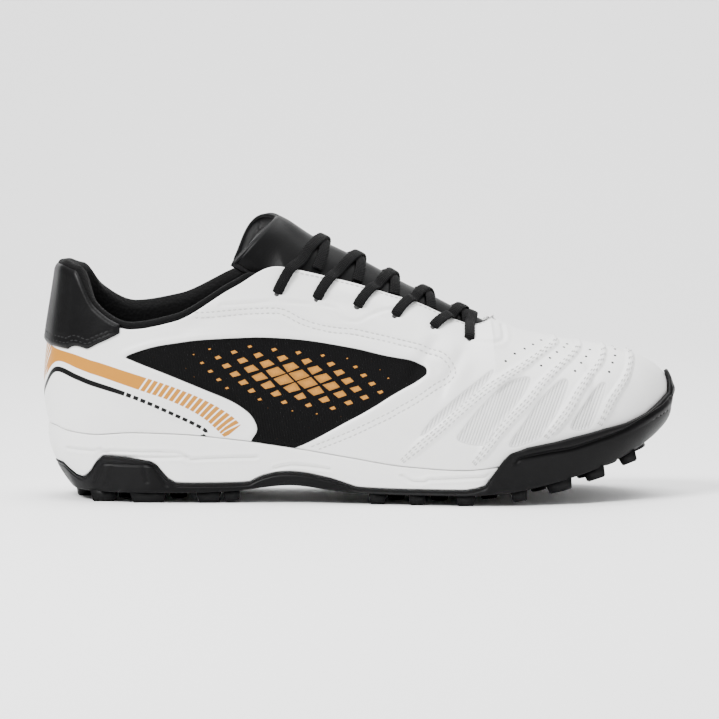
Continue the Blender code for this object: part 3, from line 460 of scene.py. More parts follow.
def upper_normal(place, along):
    """Outward direction square to the upper's outer face."""
    step = 0.01
    place = np.asarray(place, float)
    along = np.clip(np.asarray(along, float), 0.01, 0.97)
    forward = upper_point(place + step, along) - upper_point(place - step, along)
    upward = upper_point(place, along + step) - upper_point(place, along - step)
    return unit(np.cross(forward, upward))


def upper_offset(place, along, distance):
    """Point at a distance outside the upper's outer face."""
    return upper_point(place, along) + upper_normal(place, along) * distance


def place_where(name, value, low, high):
    """Place between two rows where a rising column reaches a value."""
    for _ in range(40):
        middle = (low + high) / 2
        if read(name, middle) < value:
            low = middle
        else:
            high = middle
    return (low + high) / 2


# Side faces of the sole
def covered(place):
    """0 where the midsole shows under the upper, 1 where rubber covers it."""
    return ease(length_share(place), COVER_FROM, COVER_FULL)


def rubber_top(place):
    """Height of the rubber's top edge."""
    edge = np.array(RUBBER_EDGE)
    rise = np.interp(length_share(place), edge[:, 0], edge[:, 1]) * SOLE_STACK
    least = RUBBER_SHEET + 2 * CLEAR
    return read("sheet", place) + np.maximum(rise, least)


def height_on_upper(place, height):
    """Curve share where the upper reaches a height."""
    low = np.zeros_like(height)
    high = np.full_like(height, 0.8)
    for _ in range(30):
        middle = (low + high) / 2
        below = upper_point(place, middle)[..., 2] < height
        low = np.where(below, middle, low)
        high = np.where(below, high, middle)
    return (low + high) / 2


def sole_side(place, height, inset):
    """Point of the sole's outer face at a height, moved in by an inset."""
    bite = read("bite", place)
    sheet = read("sheet", place)
    ledge = LEDGE + (SEAT_CLEAR + RUBBER_WALL - LEDGE) * covered(place)
    share = np.clip((height - sheet) / (bite - sheet), 0, 1)
    reach = read("foot", place) + (ledge - read("foot", place)) * (1 - (1 - share) ** 2.2)
    out = outward(place)
    low = np.stack([read("x", place), read("y", place), height], axis=-1)
    low = low + out * (reach - inset)[..., None]
    along = height_on_upper(place, np.maximum(height, bite))
    normal = upper_normal(place, along)
    high = upper_point(place, along) + normal * (SEAT_CLEAR + RUBBER_WALL - inset)[..., None]
    return np.where((height > bite)[..., None], high, low)


# Side view: how the tables in millimetres lie on the shoe
VIEW_TILT = math.radians(4.3)
VIEW_AWAY = 2.0
VIEW_X = 0.00025
VIEW_Z = 0.0602
LATERAL = -1
MEDIAL = 1


def side_view(points):
    """Millimetres across and up in the side view, the inner side seen as a mirror of the outer."""
    near = -np.abs(points[..., 1])
    up = points[..., 2] - VIEW_Z
    depth = near * math.cos(VIEW_TILT) - up * math.sin(VIEW_TILT)
    scale = 1000 * VIEW_AWAY / (VIEW_AWAY + depth)
    across = (points[..., 0] - VIEW_X) * scale
    return across, (near * math.sin(VIEW_TILT) + up * math.cos(VIEW_TILT)) * scale


def smooth_path(points, step=1.2, closed=False):
    """Even points on a smooth curve through the given ones."""
    given = np.array(points, float)
    if closed:
        given = np.concatenate([given[-1:], given, given[:2]])
    else:
        given = np.concatenate([2 * given[:1] - given[1:2], given, 2 * given[-1:] - given[-2:-1]])
    made = []
    for before, start, end, after in zip(given, given[1:], given[2:], given[3:]):
        count = max(2, int(np.linalg.norm(end - start) / step) + 1)
        t = np.linspace(0, 1, count, endpoint=False)[:, None]
        made.append(bend(before, start, end, after, t))
    if not closed:
        made.append(given[-2:-1])
    return np.concatenate(made)


def path_distance(u, v, path, closed=False):
    """Distance to a path, signed by its left and right, and the length along it."""
    path = np.asarray(path, float)
    ends = np.roll(path, -1, axis=0) if closed else path[1:]
    starts = path if closed else path[:-1]
    best = np.full(u.shape, 1e9)
    signed = np.full(u.shape, 1e9)
    along = np.zeros(u.shape)
    run = 0.0
    for start, end in zip(starts, ends):
        direction = end - start
        length = float(np.hypot(*direction))
        du = u - start[0]
        dv = v - start[1]
        t = np.clip((du * direction[0] + dv * direction[1]) / length ** 2, 0, 1)
        distance = np.hypot(du - t * direction[0], dv - t * direction[1])
        near = distance < best
        best = np.where(near, distance, best)
        turn = direction[0] * dv - direction[1] * du
        signed = np.where(near, np.sign(turn) * distance, signed)
        along = np.where(near, run + t * length, along)
        run += length
    return best, signed, along


def outline_depth(u, v, outline):
    """How deep inside an outline, negative outside."""
    outline = np.asarray(outline, float)
    best, _, _ = path_distance(u, v, outline, closed=True)
    crossings = np.zeros(u.shape, int)
    for start, end in zip(outline, np.roll(outline, -1, axis=0)):
        spans = (start[1] > v) != (end[1] > v)
        rise = end[1] - start[1] if end[1] != start[1] else 1e-9
        crossings += spans & (u < start[0] + (v - start[1]) * (end[0] - start[0]) / rise)
    return np.where(crossings % 2 == 1, best, -best)


WINDOW_PATH = smooth_path(WINDOW_EDGE, closed=True)
LEAF_PATHS = [smooth_path(leaf, closed=True) for leaf in LEAVES]
RIB_PATHS = [smooth_path(rib) for rib in RIBS]
QUARTER_PATH = smooth_path(QUARTER_SEAM)
WAVE_PATH = smooth_path(WAVE_LINE)
THROAT_PATH = smooth_path(THROAT_LINE)
GOLD_TOP = smooth_path(GOLD_BAND[0])
GOLD_LOW = smooth_path(GOLD_BAND[1])
BLACK_PATH = smooth_path(BLACK_LINE)
GROOVE_PATHS = [smooth_path(groove) for groove in MIDSOLE_GROOVES]
BUMPER_PATH = smooth_path(BUMPER_GROOVE)

# Depths and widths of the upper's relief, in millimetres
STITCH_GROOVE = 0.42
RIB_HALF = 2.5
RIB_ROWS = (-1.35, 0.0, 1.35)
LEAF_DEPTH = 0.7
LINE_DEPTH = 0.6
QUARTER_GAP = 2.3
CREASES = (
    ((36, 14), (31, 4), (24, -6), (22, -16), 7.0, 0.7),
    ((48, 9), (44, 0), (38, -10), (33, -22), 6.0, 0.6),
    ((98, 3), (103, -6), (104, -16), (101, -27), 5.0, 0.35),
    ((-84, 12), (-72, 16), (-58, 18), (-46, 17), 8.0, 0.6),
    ((-112, -12), (-100, -20), (-84, -28), (-66, -33), 9.0, 0.7),
    ((-20, 30), (-8, 25), (4, 22), (16, 17), 6.0, 0.5),
)


def eyelet_place(share, side):
    """Ring place of an eyelet, and its share of the section curve."""
    row = place_where("top_x", to_x(share), 6.5, 12)
    place = on_side(row, side)
    alongs = np.linspace(1.0, 0.5, 251)
    run = np.linalg.norm(upper_point(np.full(251, place), alongs) - upper_point(place, 1.0), axis=-1)
    return place, float(np.interp(EYELET_INSET, run, alongs))


EYELET_VIEW = [side_view(upper_point(*eyelet_place(share, LATERAL))) for share in EYELETS]


def run_along(points):
    """Length along a line up to each of its points."""
    steps = np.linalg.norm(np.diff(np.asarray(points, float), axis=0), axis=1)
    return np.concatenate([[0], np.cumsum(steps)])


def trough(distance, width):
    """1 on a line, falling smoothly to 0 at its width."""
    return np.exp(-(distance / width) ** 2 * 2)


def upper_relief(u, v):
    """How far the upper's outer face stands out of its smooth form, in millimetres."""
    window = outline_depth(u, v, WINDOW_PATH)
    relief = -0.8 * ease(window, -0.5, 0.6) + 0.35 * trough(window + 1.6, 1.6)
    for path in LEAF_PATHS:
        relief -= LEAF_DEPTH * ease(outline_depth(u, v, path), -0.5, 0.7)
    for path in RIB_PATHS:
        near, across, along = path_distance(u, v, path)
        total = run_along(path)[-1]
        half = RIB_HALF * (0.55 + 0.45 * ease(along, 4, 40))
        half = half * (1 - 0.35 * ease(along, total - 12, total))
        rise = 1 - ease(near, half * 0.55, half * 1.25)
        ends = ease(along, -0.5, 2.5) * (1 - ease(along, total - 8, total))
        relief += 1.1 * rise * (0.25 + 0.75 * ends)
        for row in RIB_ROWS:
            relief -= STITCH_GROOVE * trough(across - row * half / RIB_HALF, 0.5) * rise
    near, across, along = path_distance(u, v, QUARTER_PATH)
    relief -= STITCH_GROOVE * (trough(near, 0.6) + trough(across + QUARTER_GAP, 0.6))
    relief += 0.3 * ease(across, -6.2, -5.4) * (1 - ease(across, -4.6, -3.6)) * 0.6
    for path in (WAVE_PATH, THROAT_PATH):
        near, across, _ = path_distance(u, v, path)
        relief += -LINE_DEPTH * trough(near, 0.8) + 0.16 * trough(near - 1.7, 1.2)
    for *points, width, depth in CREASES:
        near, across, along = path_distance(u, v, smooth_path(points, 3.0))
        total = run_along(points)[-1]
        fade = ease(along, 0, total * 0.3) * (1 - ease(along, total * 0.7, total))
        relief += depth * fade * (-trough(near, width * 0.5) + 0.55 * trough(near - width * 0.8, width * 0.7))
    for spot_u, spot_v in EYELET_VIEW:
        near = np.hypot(u - spot_u, v - spot_v)
        relief = relief * (1 - np.exp(-(near / 4) ** 2)) - 0.35 * trough(near, 2.6)
    return relief


# Stations of the fine grids
def even_rows(count):
    """Rows from heel to toe at even steps along the outer edge."""
    dense = np.linspace(0, LAST_ROW, 2001)
    run = run_along(np.stack([read("x", dense), read("y", dense)], axis=-1))
    return np.interp(np.linspace(0, run[-1], count), run, dense)


def lateral_rows(count):
    """Even rows, with those of the throat's round end among them."""
    even = even_rows(count)
    turns = np.radians(np.arange(10, 91, 8.0))
    bends = [place_where("top_x", THROAT_X - THROAT_ROUND * (1 - math.sin(turn)), 8, 13) for turn in turns]
    keep = [row for row in even if min(abs(row - bend) for bend in bends) > 0.02]
    return np.array(sorted(keep + bends))


def whole_ring(rows):
    """Places out along the lateral side and back along the medial side."""
    return np.concatenate([rows, RING - rows[-2:0:-1]])


def even_places(count):
    """Ring places at even steps."""
    return whole_ring(even_rows(count))


# Mesh helpers
def mesh_object(name, points, faces, materials, attributes=None, faces_of=None):
    """Object with a mesh; points that no face uses are left out."""
    points = np.asarray(points, float)
    faces = [np.asarray(group) for group in faces]
    used = np.unique(np.concatenate([group.ravel() for group in faces]))
    renumber = np.full(len(points), -1)
    renumber[used] = np.arange(len(used))
    mesh = bpy.data.meshes.new(name)
    loops = np.concatenate([renumber[group].ravel() for group in faces])
    sizes = np.concatenate([np.full(len(group), group.shape[1]) for group in faces])
    starts = np.concatenate([[0], np.cumsum(sizes)[:-1]])
    mesh.vertices.add(len(used))
    mesh.vertices.foreach_set("co", points[used].ravel())
    mesh.loops.add(len(loops))
    mesh.loops.foreach_set("vertex_index", loops.astype(np.int32))
    mesh.polygons.add(len(sizes))
    mesh.polygons.foreach_set("loop_start", starts.astype(np.int32))
    mesh.polygons.foreach_set("loop_total", sizes.astype(np.int32))
    for material in materials:
        mesh.materials.append(material)
    if faces_of is not None:
        mesh.polygons.foreach_set("material_index", np.asarray(faces_of, np.int32))
    mesh.update(calc_edges=True)
    mesh.validate()
    mesh.shade_smooth()
    for key, values in (attributes or {}).items():
        values = np.asarray(values, np.float32)[used]
        kind = 'FLOAT' if values.ndim == 1 else 'FLOAT_VECTOR'
        layer = mesh.attributes.new(key, kind, 'POINT')
        layer.data.foreach_set("value" if kind == 'FLOAT' else "vector", values.ravel())
    thing = bpy.data.objects.new(name, mesh)
    bpy.context.scene.collection.objects.link(thing)
    return thing


def grid_faces(rows, columns, closed, start=0):
    """Quads of a grid of points; closed joins the last column to the first."""
    index = np.arange(rows * columns).reshape(rows, columns) + start
    right = np.roll(index, -1, axis=1)
    quads = np.stack([index[:-1], right[:-1], right[1:], index[1:]], axis=-1)
    if not closed:
        quads = quads[:, :-1]
    return quads.reshape(-1, 4)


def face_outward(thing):
    """Turn the faces of a closed mesh outward."""
    shape = bmesh.new()
    shape.from_mesh(thing.data)
    bmesh.ops.remove_doubles(shape, verts=shape.verts, dist=0.000005)
    bmesh.ops.recalc_face_normals(shape, faces=shape.faces)
    shape.to_mesh(thing.data)
    shape.free()
    return thing


def joined(name, things):
    """One object from several."""
    bpy.ops.object.select_all(action='DESELECT')
    for thing in things:
        thing.select_set(True)
    bpy.context.view_layer.objects.active = things[0]
    bpy.ops.object.join()
    things[0].name = name
    things[0].data.name = name
    return things[0]


def settle(piece, slot, *nodes):
    """Ride the piece on the shoe and let it stand for its solids."""
    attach(piece, "root")
    if nodes:
        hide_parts(*nodes)
    return piece


# Materials
def new_material(name, color, roughness, **more):
    """Material with a Principled shader; returns it with its nodes, links and shader."""
    material = bpy.data.materials.new(name)
    material.use_nodes = True
    tree = material.node_tree
    shader = tree.nodes["Principled BSDF"]
    shader.inputs["Base Color"].default_value = (*color, 1)
    shader.inputs["Roughness"].default_value = roughness
    for key, value in more.items():
        shader.inputs[key].default_value = value
    return material, tree, shader


def node(tree, kind, inputs=None, **settings):
    """A node with its settings, and its inputs set or linked."""
    made = tree.nodes.new(kind)
    for key, value in settings.items():
        setattr(made, key, value)
    for key, value in (inputs or {}).items():
        if isinstance(value, bpy.types.NodeSocket):
            tree.links.new(value, made.inputs[key])
        else:
            made.inputs[key].default_value = value
    return made


def math_node(tree, operation, *values):
    """Output of a Math node."""
    return node(tree, 'ShaderNodeMath', dict(enumerate(values)), operation=operation).outputs[0]


def mix_color(tree, share, first, second):
    """Output of a colour mix."""
    first, second = (value if isinstance(value, bpy.types.NodeSocket) else (*value, 1)
                     for value in (first, second))
    return node(tree, 'ShaderNodeMix', {0: share, 6: first, 7: second}, data_type='RGBA').outputs[2]


def mix_value(tree, share, first, second):
    """Output of a value mix."""
    return node(tree, 'ShaderNodeMix', {0: share, 2: first, 3: second}, data_type='FLOAT').outputs[0]


def step_up(tree, value, low, high):
    """0 below low and 1 above high."""
    made = node(tree, 'ShaderNodeMapRange', {0: value, 1: low, 2: high}, interpolation_type='SMOOTHSTEP')
    return made.outputs[0]


def read_layer(tree, name):
    """Value that the mesh carries under a name."""
    return node(tree, 'ShaderNodeAttribute', attribute_name=name).outputs["Fac"]


def place_on(tree):
    """Object coordinates."""
    return node(tree, 'ShaderNodeTexCoord').outputs["Object"]


def times(color, share):
    """A colour times a share."""
    return [share * c for c in color]


def halfway(tree, value):
    """Distance of a repeating value from the middle of its step."""
    return math_node(tree, 'ABSOLUTE', math_node(tree, 'SUBTRACT', math_node(tree, 'FRACT', value), 0.5))


def bar_mask(tree, along, pitch, share, soft):
    """Bars that fill a share of each pitch, with soft edges."""
    saw = math_node(tree, 'FRACT', math_node(tree, 'DIVIDE', along, pitch))
    past = math_node(tree, 'SUBTRACT', 1.0, step_up(tree, saw, share, share + soft))
    return math_node(tree, 'MULTIPLY', step_up(tree, saw, 0.02, 0.02 + soft), past)


def worn(tree, shader, wear, share, color, dusty):
    """Base colour that turns a little toward another where the surface is worn."""
    amount = math_node(tree, 'MULTIPLY', wear.outputs[0], share)
    tree.links.new(mix_color(tree, amount, color, dusty), shader.inputs["Base Color"])


def new_group(name, inputs, outputs):
    """Node group with named float or vector inputs and outputs."""
    group = bpy.data.node_groups.new(name, 'ShaderNodeTree')
    for key, kind, default in inputs:
        socket = group.interface.new_socket(name=key, in_out='INPUT', socket_type=kind)
        if default is not None:
            socket.default_value = default
    for key, kind in outputs:
        group.interface.new_socket(name=key, in_out='OUTPUT', socket_type=kind)
    return group, group.nodes.new('NodeGroupInput'), group.nodes.new('NodeGroupOutput')


FLOAT = 'NodeSocketFloat'
VECTOR = 'NodeSocketVector'


def grain_group():
    """Leather grain: small pebbles with fine noise, as a height and a mask."""
    group, given, result = new_group(
        "Leather grain", [("Place", VECTOR, None), ("Pebbles per metre", FLOAT, 1300.0),
                          ("Noise share", FLOAT, 0.4)],
        [("Height", FLOAT), ("Mask", FLOAT)])
    pebbles = node(group, 'ShaderNodeTexVoronoi', {"Vector": given.outputs[0], "Scale": given.outputs[1]},
                   feature='SMOOTH_F1')
    noise = node(group, 'ShaderNodeTexNoise', {"Vector": given.outputs[0], "Scale": 520.0, "Detail": 4.0})
    mottle = node(group, 'ShaderNodeTexNoise', {"Vector": given.outputs[0], "Scale": 34.0, "Detail": 3.0})
    height = mix_value(group, given.outputs[2], pebbles.outputs["Distance"], noise.outputs[0])
    group.links.new(height, result.inputs[0])
    group.links.new(mottle.outputs[0], result.inputs[1])
    return group


def rib_group():
    """Ribbed cloth: fine ridges along one coordinate, broken by threads along the other."""
    group, given, result = new_group(
        "Ribbed cloth", [("Across", FLOAT, 0.0), ("Along", FLOAT, 0.0), ("Pitch", FLOAT, 1.2),
                         ("Thread", FLOAT, 0.7)],
        [("Height", FLOAT), ("Mask", FLOAT)])
    across, along, pitch, thread = list(given.outputs)[:4]
    turn = math_node(group, 'DIVIDE', math_node(group, 'MULTIPLY', across, 2 * math.pi), pitch)
    ridge = math_node(group, 'ABSOLUTE', math_node(group, 'SINE', math_node(group, 'MULTIPLY', turn, 0.5)))
    row = math_node(group, 'FLOOR', math_node(group, 'DIVIDE', across, pitch))
    shift = math_node(group, 'MULTIPLY', row, 2.1)
    along = math_node(group, 'DIVIDE', math_node(group, 'MULTIPLY', along, 2 * math.pi), thread)
    thread = math_node(group, 'SINE', math_node(group, 'ADD', along, shift))
    height = math_node(group, 'MULTIPLY_ADD', thread, 0.18, ridge)
    group.links.new(height, result.inputs[0])
    # The mask is the ridge profile; the leather uses it to paint shade into the grooves between the ribs.
    group.links.new(ridge, result.inputs[1])
    return group


def dust_group():
    """Faint wear: patches that dull and darken a surface a little."""
    group, given, result = new_group(
        "Faint wear", [("Place", VECTOR, None), ("Size", FLOAT, 26.0)], [("Mask", FLOAT)])
    noise = node(group, 'ShaderNodeTexNoise', {"Vector": given.outputs[0], "Scale": given.outputs[1],
                                               "Detail": 5.0, "Roughness": 0.62})
    group.links.new(step_up(group, noise.outputs[0], 0.45, 0.75), result.inputs[0])
    return group


def group_node(tree, group, inputs):
    """A node group placed in a material."""
    return node(tree, 'ShaderNodeGroup', inputs, node_tree=group)


def add_bump(tree, shader, height, distance, strength):
    """Bump from a height."""
    bump = node(tree, 'ShaderNodeBump', {"Height": height, "Distance": distance, "Strength": strength})
    tree.links.new(bump.outputs[0], shader.inputs["Normal"])


def shared(maker):
    """A node group, made once."""
    names = {grain_group: "Leather grain", rib_group: "Ribbed cloth", dust_group: "Faint wear"}
    return bpy.data.node_groups.get(names[maker]) or maker()


def leather_material(colors):
    """White synthetic leather with its cloth window, cloth insets and printed heel trim."""
    material, tree, shader = new_material("white_leather", colors.leather, 0.36, **{
        "Coat Weight": 0.1, "Coat Roughness": 0.3, "Specular IOR Level": 0.4})
    place = place_on(tree)
    u = read_layer(tree, "view_u")
    v = read_layer(tree, "view_v")
    grain = group_node(tree, shared(grain_group), {"Place": place})
    wear = group_node(tree, shared(dust_group), {"Place": place})
    window = step_up(tree, read_layer(tree, "window"), -0.18, 0.18)
    leaf = step_up(tree, read_layer(tree, "leaf"), -0.2, 0.3)
    color = mix_color(tree, grain.outputs["Mask"], colors.leather, times(colors.leather, 0.95))
    color = mix_color(tree, math_node(tree, 'MULTIPLY', wear.outputs[0], 0.25), color, (0.70, 0.69, 0.66))
    black_ribs, white_ribs = [
        group_node(tree, shared(rib_group), {"Across": math_node(tree, 'MULTIPLY_ADD', v, lean, u),
                                             "Along": v, "Pitch": pitch, "Thread": thread})
        for lean, pitch, thread in ((0.16, 1.15, 0.9), (-0.35, 1.35, 1.1))]
    # Painted shade: the white cloth insets are 0.74 on their ribs and darken to 0.46 in the grooves between
    # them.
    leaf_color_with_painted_shade = mix_color(tree, white_ribs.outputs["Mask"], (0.46, 0.46, 0.46), (0.74, 0.74, 0.73))
    edge = step_up(tree, math_node(tree, 'ABSOLUTE', read_layer(tree, "leaf")), 0.1, 0.7)
    edge = math_node(tree, 'SUBTRACT', 1.0, edge)
    color = mix_color(tree, math_node(tree, 'MULTIPLY', edge, 0.45), color, (0.35, 0.35, 0.35))
    color = mix_color(tree, leaf, color, leaf_color_with_painted_shade)
    # Painted shade: the window cloth darkens in the grooves between its ribs; with the default colours both
    # ends are the same black.
    cloth = mix_color(tree, black_ribs.outputs["Mask"], (0.003, 0.003, 0.003), colors.cloth)
    gold, gold_mask = gold_pattern(tree, u, v, colors)
    cloth = mix_color(tree, gold_mask, cloth, gold)
    color = mix_color(tree, window, color, cloth)
    trim = read_layer(tree, "gold")
    hatch = hatch_mask(tree)
    gold_trim = math_node(tree, 'MULTIPLY', step_up(tree, trim, -0.12, 0.12), hatch)
    color = mix_color(tree, gold_trim, color, colors.gold)
    inside = math_node(tree, 'SUBTRACT', read_layer(tree, "black_wide"),
                       math_node(tree, 'ABSOLUTE', read_layer(tree, "black")))
    black_trim = math_node(tree, 'MULTIPLY', step_up(tree, inside, -0.12, 0.12), dash_mask(tree))
    color = mix_color(tree, black_trim, color, (0.003, 0.003, 0.003))
    tree.links.new(color, shader.inputs["Base Color"])
    rough = mix_value(tree, wear.outputs[0], 0.34, 0.46)
    rough = mix_value(tree, leaf, rough, 0.8)
    rough = mix_value(tree, window, rough, mix_value(tree, gold_mask, 0.9, 0.38))
    printed = math_node(tree, 'MAXIMUM', gold_trim, black_trim)
    shine = mix_value(tree, window, 0.4, mix_value(tree, gold_mask, 0.08, 0.3))
    tree.links.new(mix_value(tree, printed, shine, 0.12), shader.inputs["Specular IOR Level"])
    plain = math_node(tree, 'SUBTRACT', 1.0, math_node(tree, 'MAXIMUM', window, printed))
    tree.links.new(math_node(tree, 'MULTIPLY', plain, 0.1), shader.inputs["Coat Weight"])
    rough = mix_value(tree, gold_trim, rough, 0.3)
    tree.links.new(rough, shader.inputs["Roughness"])
    skin = math_node(tree, 'MULTIPLY', grain.outputs["Height"], 0.35)
    height = mix_value(tree, leaf, skin, white_ribs.outputs["Height"])
    cloth_height = mix_value(tree, gold_mask, black_ribs.outputs["Height"],
                             math_node(tree, 'MULTIPLY_ADD', black_ribs.outputs["Height"], 0.3, 0.9))
    height = mix_value(tree, window, height, cloth_height)
    height = math_node(tree, 'MULTIPLY_ADD', math_node(tree, 'ADD', gold_trim, black_trim), 0.25, height)
    add_bump(tree, shader, height, 0.00022, 0.75)
    return material


def gold_pattern(tree, u, v, colors):
    """Lattice of gold lozenges, large in the middle of the window and small toward its ends, each with a
    painted highlight in its middle.
    """
    cell_long = 11.5
    cell_high = 6.6
    lean = math_node(tree, 'MULTIPLY_ADD', v, -0.55, u)
    drop = math_node(tree, 'MULTIPLY_ADD', u, 0.12, v)
    a = math_node(tree, 'DIVIDE', lean, cell_long)
    b = math_node(tree, 'DIVIDE', drop, cell_high)
    edge = math_node(tree, 'MAXIMUM', halfway(tree, math_node(tree, 'ADD', a, b)),
                     halfway(tree, math_node(tree, 'SUBTRACT', a, b)))
    sway = math_node(tree, 'DIVIDE', math_node(tree, 'ADD', u, 28.0), 50.0)
    height = math_node(tree, 'ADD', math_node(tree, 'MULTIPLY_ADD', u, 0.16, v), 13.0)
    rise = math_node(tree, 'DIVIDE', height, 15.5)
    reach = math_node(tree, 'SQRT', math_node(tree, 'ADD', math_node(tree, 'MULTIPLY', sway, sway),
                                              math_node(tree, 'MULTIPLY', rise, rise)))
    far = node(tree, 'ShaderNodeMapRange', {0: reach, 1: 0.15, 2: 1.02, 3: 0.44, 4: 0.0}).outputs[0]
    inside = math_node(tree, 'SUBTRACT', far, edge)
    mask = step_up(tree, inside, -0.012, 0.012)
    room = step_up(tree, read_layer(tree, "window"), 3.2, 3.6)
    mask = math_node(tree, 'MULTIPLY', mask, room)
    # Painted highlight: each lozenge's gold is full in its middle and darker toward its rim.
    shine = mix_color(tree, step_up(tree, edge, 0.05, 0.36), colors.gold, times(colors.gold, 0.72))
    return shine, mask


def hatch_mask(tree):
    """Solid gold near the heel, slanted bars further along."""
    along = read_layer(tree, "gold_along")
    across = read_layer(tree, "gold_across")
    slant = math_node(tree, 'MULTIPLY_ADD', across, -0.3, along)
    bars = bar_mask(tree, slant, 2.7, 0.74, 0.08)
    start = step_up(tree, along, 62.0, 62.6)
    back = math_node(tree, 'SUBTRACT', 1.0, step_up(tree, along, 9.6, 10.2))
    broken = math_node(tree, 'MAXIMUM', start, back)
    return mix_value(tree, broken, 1.0, bars)


def dash_mask(tree):
    """Solid near the heel, dashes further along."""
    along = read_layer(tree, "black_along")
    bars = bar_mask(tree, along, 3.4, 0.70, 0.06)
    return mix_value(tree, step_up(tree, along, 57.0, 57.4), 1.0, bars)


def cloth_material(name, color, pitch, roughness=0.85, sheen=0.02):
    """Knitted cloth: ribs round the opening, as small loops, with painted shade in the gaps between the
    loops.
    """
    material, tree, shader = new_material(name, color, roughness, **{
        "Sheen Weight": sheen, "Sheen Roughness": 0.5, "Specular IOR Level": 0.1})
    place = place_on(tree)
    loops = node(tree, 'ShaderNodeTexVoronoi', {"Vector": place, "Scale": 1000.0 / pitch}, feature='F1')
    wear = group_node(tree, shared(dust_group), {"Place": place, "Size": 60.0})
    # Painted shade: the cloth is darker in the gaps between its loops.
    shade = math_node(tree, 'MULTIPLY_ADD', loops.outputs["Distance"], 0.9, 0.1)
    dark = mix_color(tree, shade, color, times(color, 0.25))
    worn(tree, shader, wear, 0.3, dark, times(color, 1.7))
    add_bump(tree, shader, loops.outputs["Distance"], 0.0004, 0.6)
    return material


def satin_material(name, color, roughness, pebbles=1600.0, depth=0.00015, coat=0.15):
    """Smooth black synthetic leather with a small grain."""
    material, tree, shader = new_material(name, color, roughness, **{
        "Coat Weight": coat, "Coat Roughness": 0.35, "Specular IOR Level": 0.09})
    place = place_on(tree)
    grain = group_node(tree, shared(grain_group), {"Place": place, "Pebbles per metre": pebbles})
    wear = group_node(tree, shared(dust_group), {"Place": place, "Size": 45.0})
    worn(tree, shader, wear, 0.35, color, times(color, 2.2))
    tree.links.new(mix_value(tree, wear.outputs[0], roughness, roughness + 0.12), shader.inputs["Roughness"])
    add_bump(tree, shader, grain.outputs["Height"], depth, 0.7)
    return material


def rubber_material(colors):
    """Black rubber, faintly dusty, with a fine moulded grain."""
    material, tree, shader = new_material("black_rubber", colors.rubber, 0.48, **{"Specular IOR Level": 0.12})
    place = place_on(tree)
    fine = node(tree, 'ShaderNodeTexNoise', {"Vector": place, "Scale": 1400.0, "Detail": 3.0})
    wear = group_node(tree, shared(dust_group), {"Place": place, "Size": 40.0})
    worn(tree, shader, wear, 0.5, colors.rubber, times(colors.rubber, 2.5))
    tree.links.new(mix_value(tree, wear.outputs[0], 0.42, 0.6), shader.inputs["Roughness"])
    add_bump(tree, shader, fine.outputs[0], 0.00012, 0.5)
    return material


def foam_material(colors):
    """White moulded foam with a faint skin texture."""
    material, tree, shader = new_material("white_foam", colors.foam, 0.5, **{
        "Subsurface Weight": 0.0, "Specular IOR Level": 0.4})
    place = place_on(tree)
    fine = node(tree, 'ShaderNodeTexNoise', {"Vector": place, "Scale": 900.0, "Detail": 4.0})
    wear = group_node(tree, shared(dust_group), {"Place": place, "Size": 30.0})
    worn(tree, shader, wear, 0.3, colors.foam, (0.72, 0.71, 0.68))
    tree.links.new(mix_value(tree, wear.outputs[0], 0.46, 0.6), shader.inputs["Roughness"])
    add_bump(tree, shader, fine.outputs[0], 0.0001, 0.5)
    return material


def lace_material(colors):
    """Flat woven lace: a plait of threads that follows the lace, painted darker in its hollows and lighter on
    its raised threads.
    """
    material, tree, shader = new_material("lace", colors.lace, 0.7, **{
        "Sheen Weight": 0.0, "Sheen Roughness": 0.4, "Specular IOR Level": 0.1})
    along = read_layer(tree, "lace_along")
    across = read_layer(tree, "lace_across")
    up = math_node(tree, 'ABSOLUTE', math_node(tree, 'SUBTRACT', across, 0.5))
    first = math_node(tree, 'MULTIPLY_ADD', up, 9.0, math_node(tree, 'MULTIPLY', along, 7.0))
    first = math_node(tree, 'SINE', first)
    rows = math_node(tree, 'SINE', math_node(tree, 'MULTIPLY', across, 38.0))
    height = math_node(tree, 'MULTIPLY_ADD', first, 0.5, math_node(tree, 'MULTIPLY_ADD', rows, 0.3, 0.5))
    # Painted shade and highlight: the weave is darker in its hollows and lighter on its raised threads.
    tree.links.new(mix_color(tree, height, times(colors.lace, 0.4), times(colors.lace, 1.6)),
                   shader.inputs["Base Color"])
    add_bump(tree, shader, height, 0.00025, 0.8)
    return material


def thread_material(name, color, sheen, specular):
    """Sewing thread, with painted shade in the darker stripes of its twist."""
    material, tree, shader = new_material(name, color, 0.55, **{
        "Sheen Weight": sheen, "Specular IOR Level": specular})
    twist_shade = node(tree, 'ShaderNodeTexWave', {"Vector": place_on(tree), "Scale": 700.0, "Distortion": 1.0})
    # Painted shade: darker stripes along the thread's twist.
    tree.links.new(mix_color(tree, twist_shade.outputs[1], color, times(color, 0.8)), shader.inputs["Base Color"])
    return material


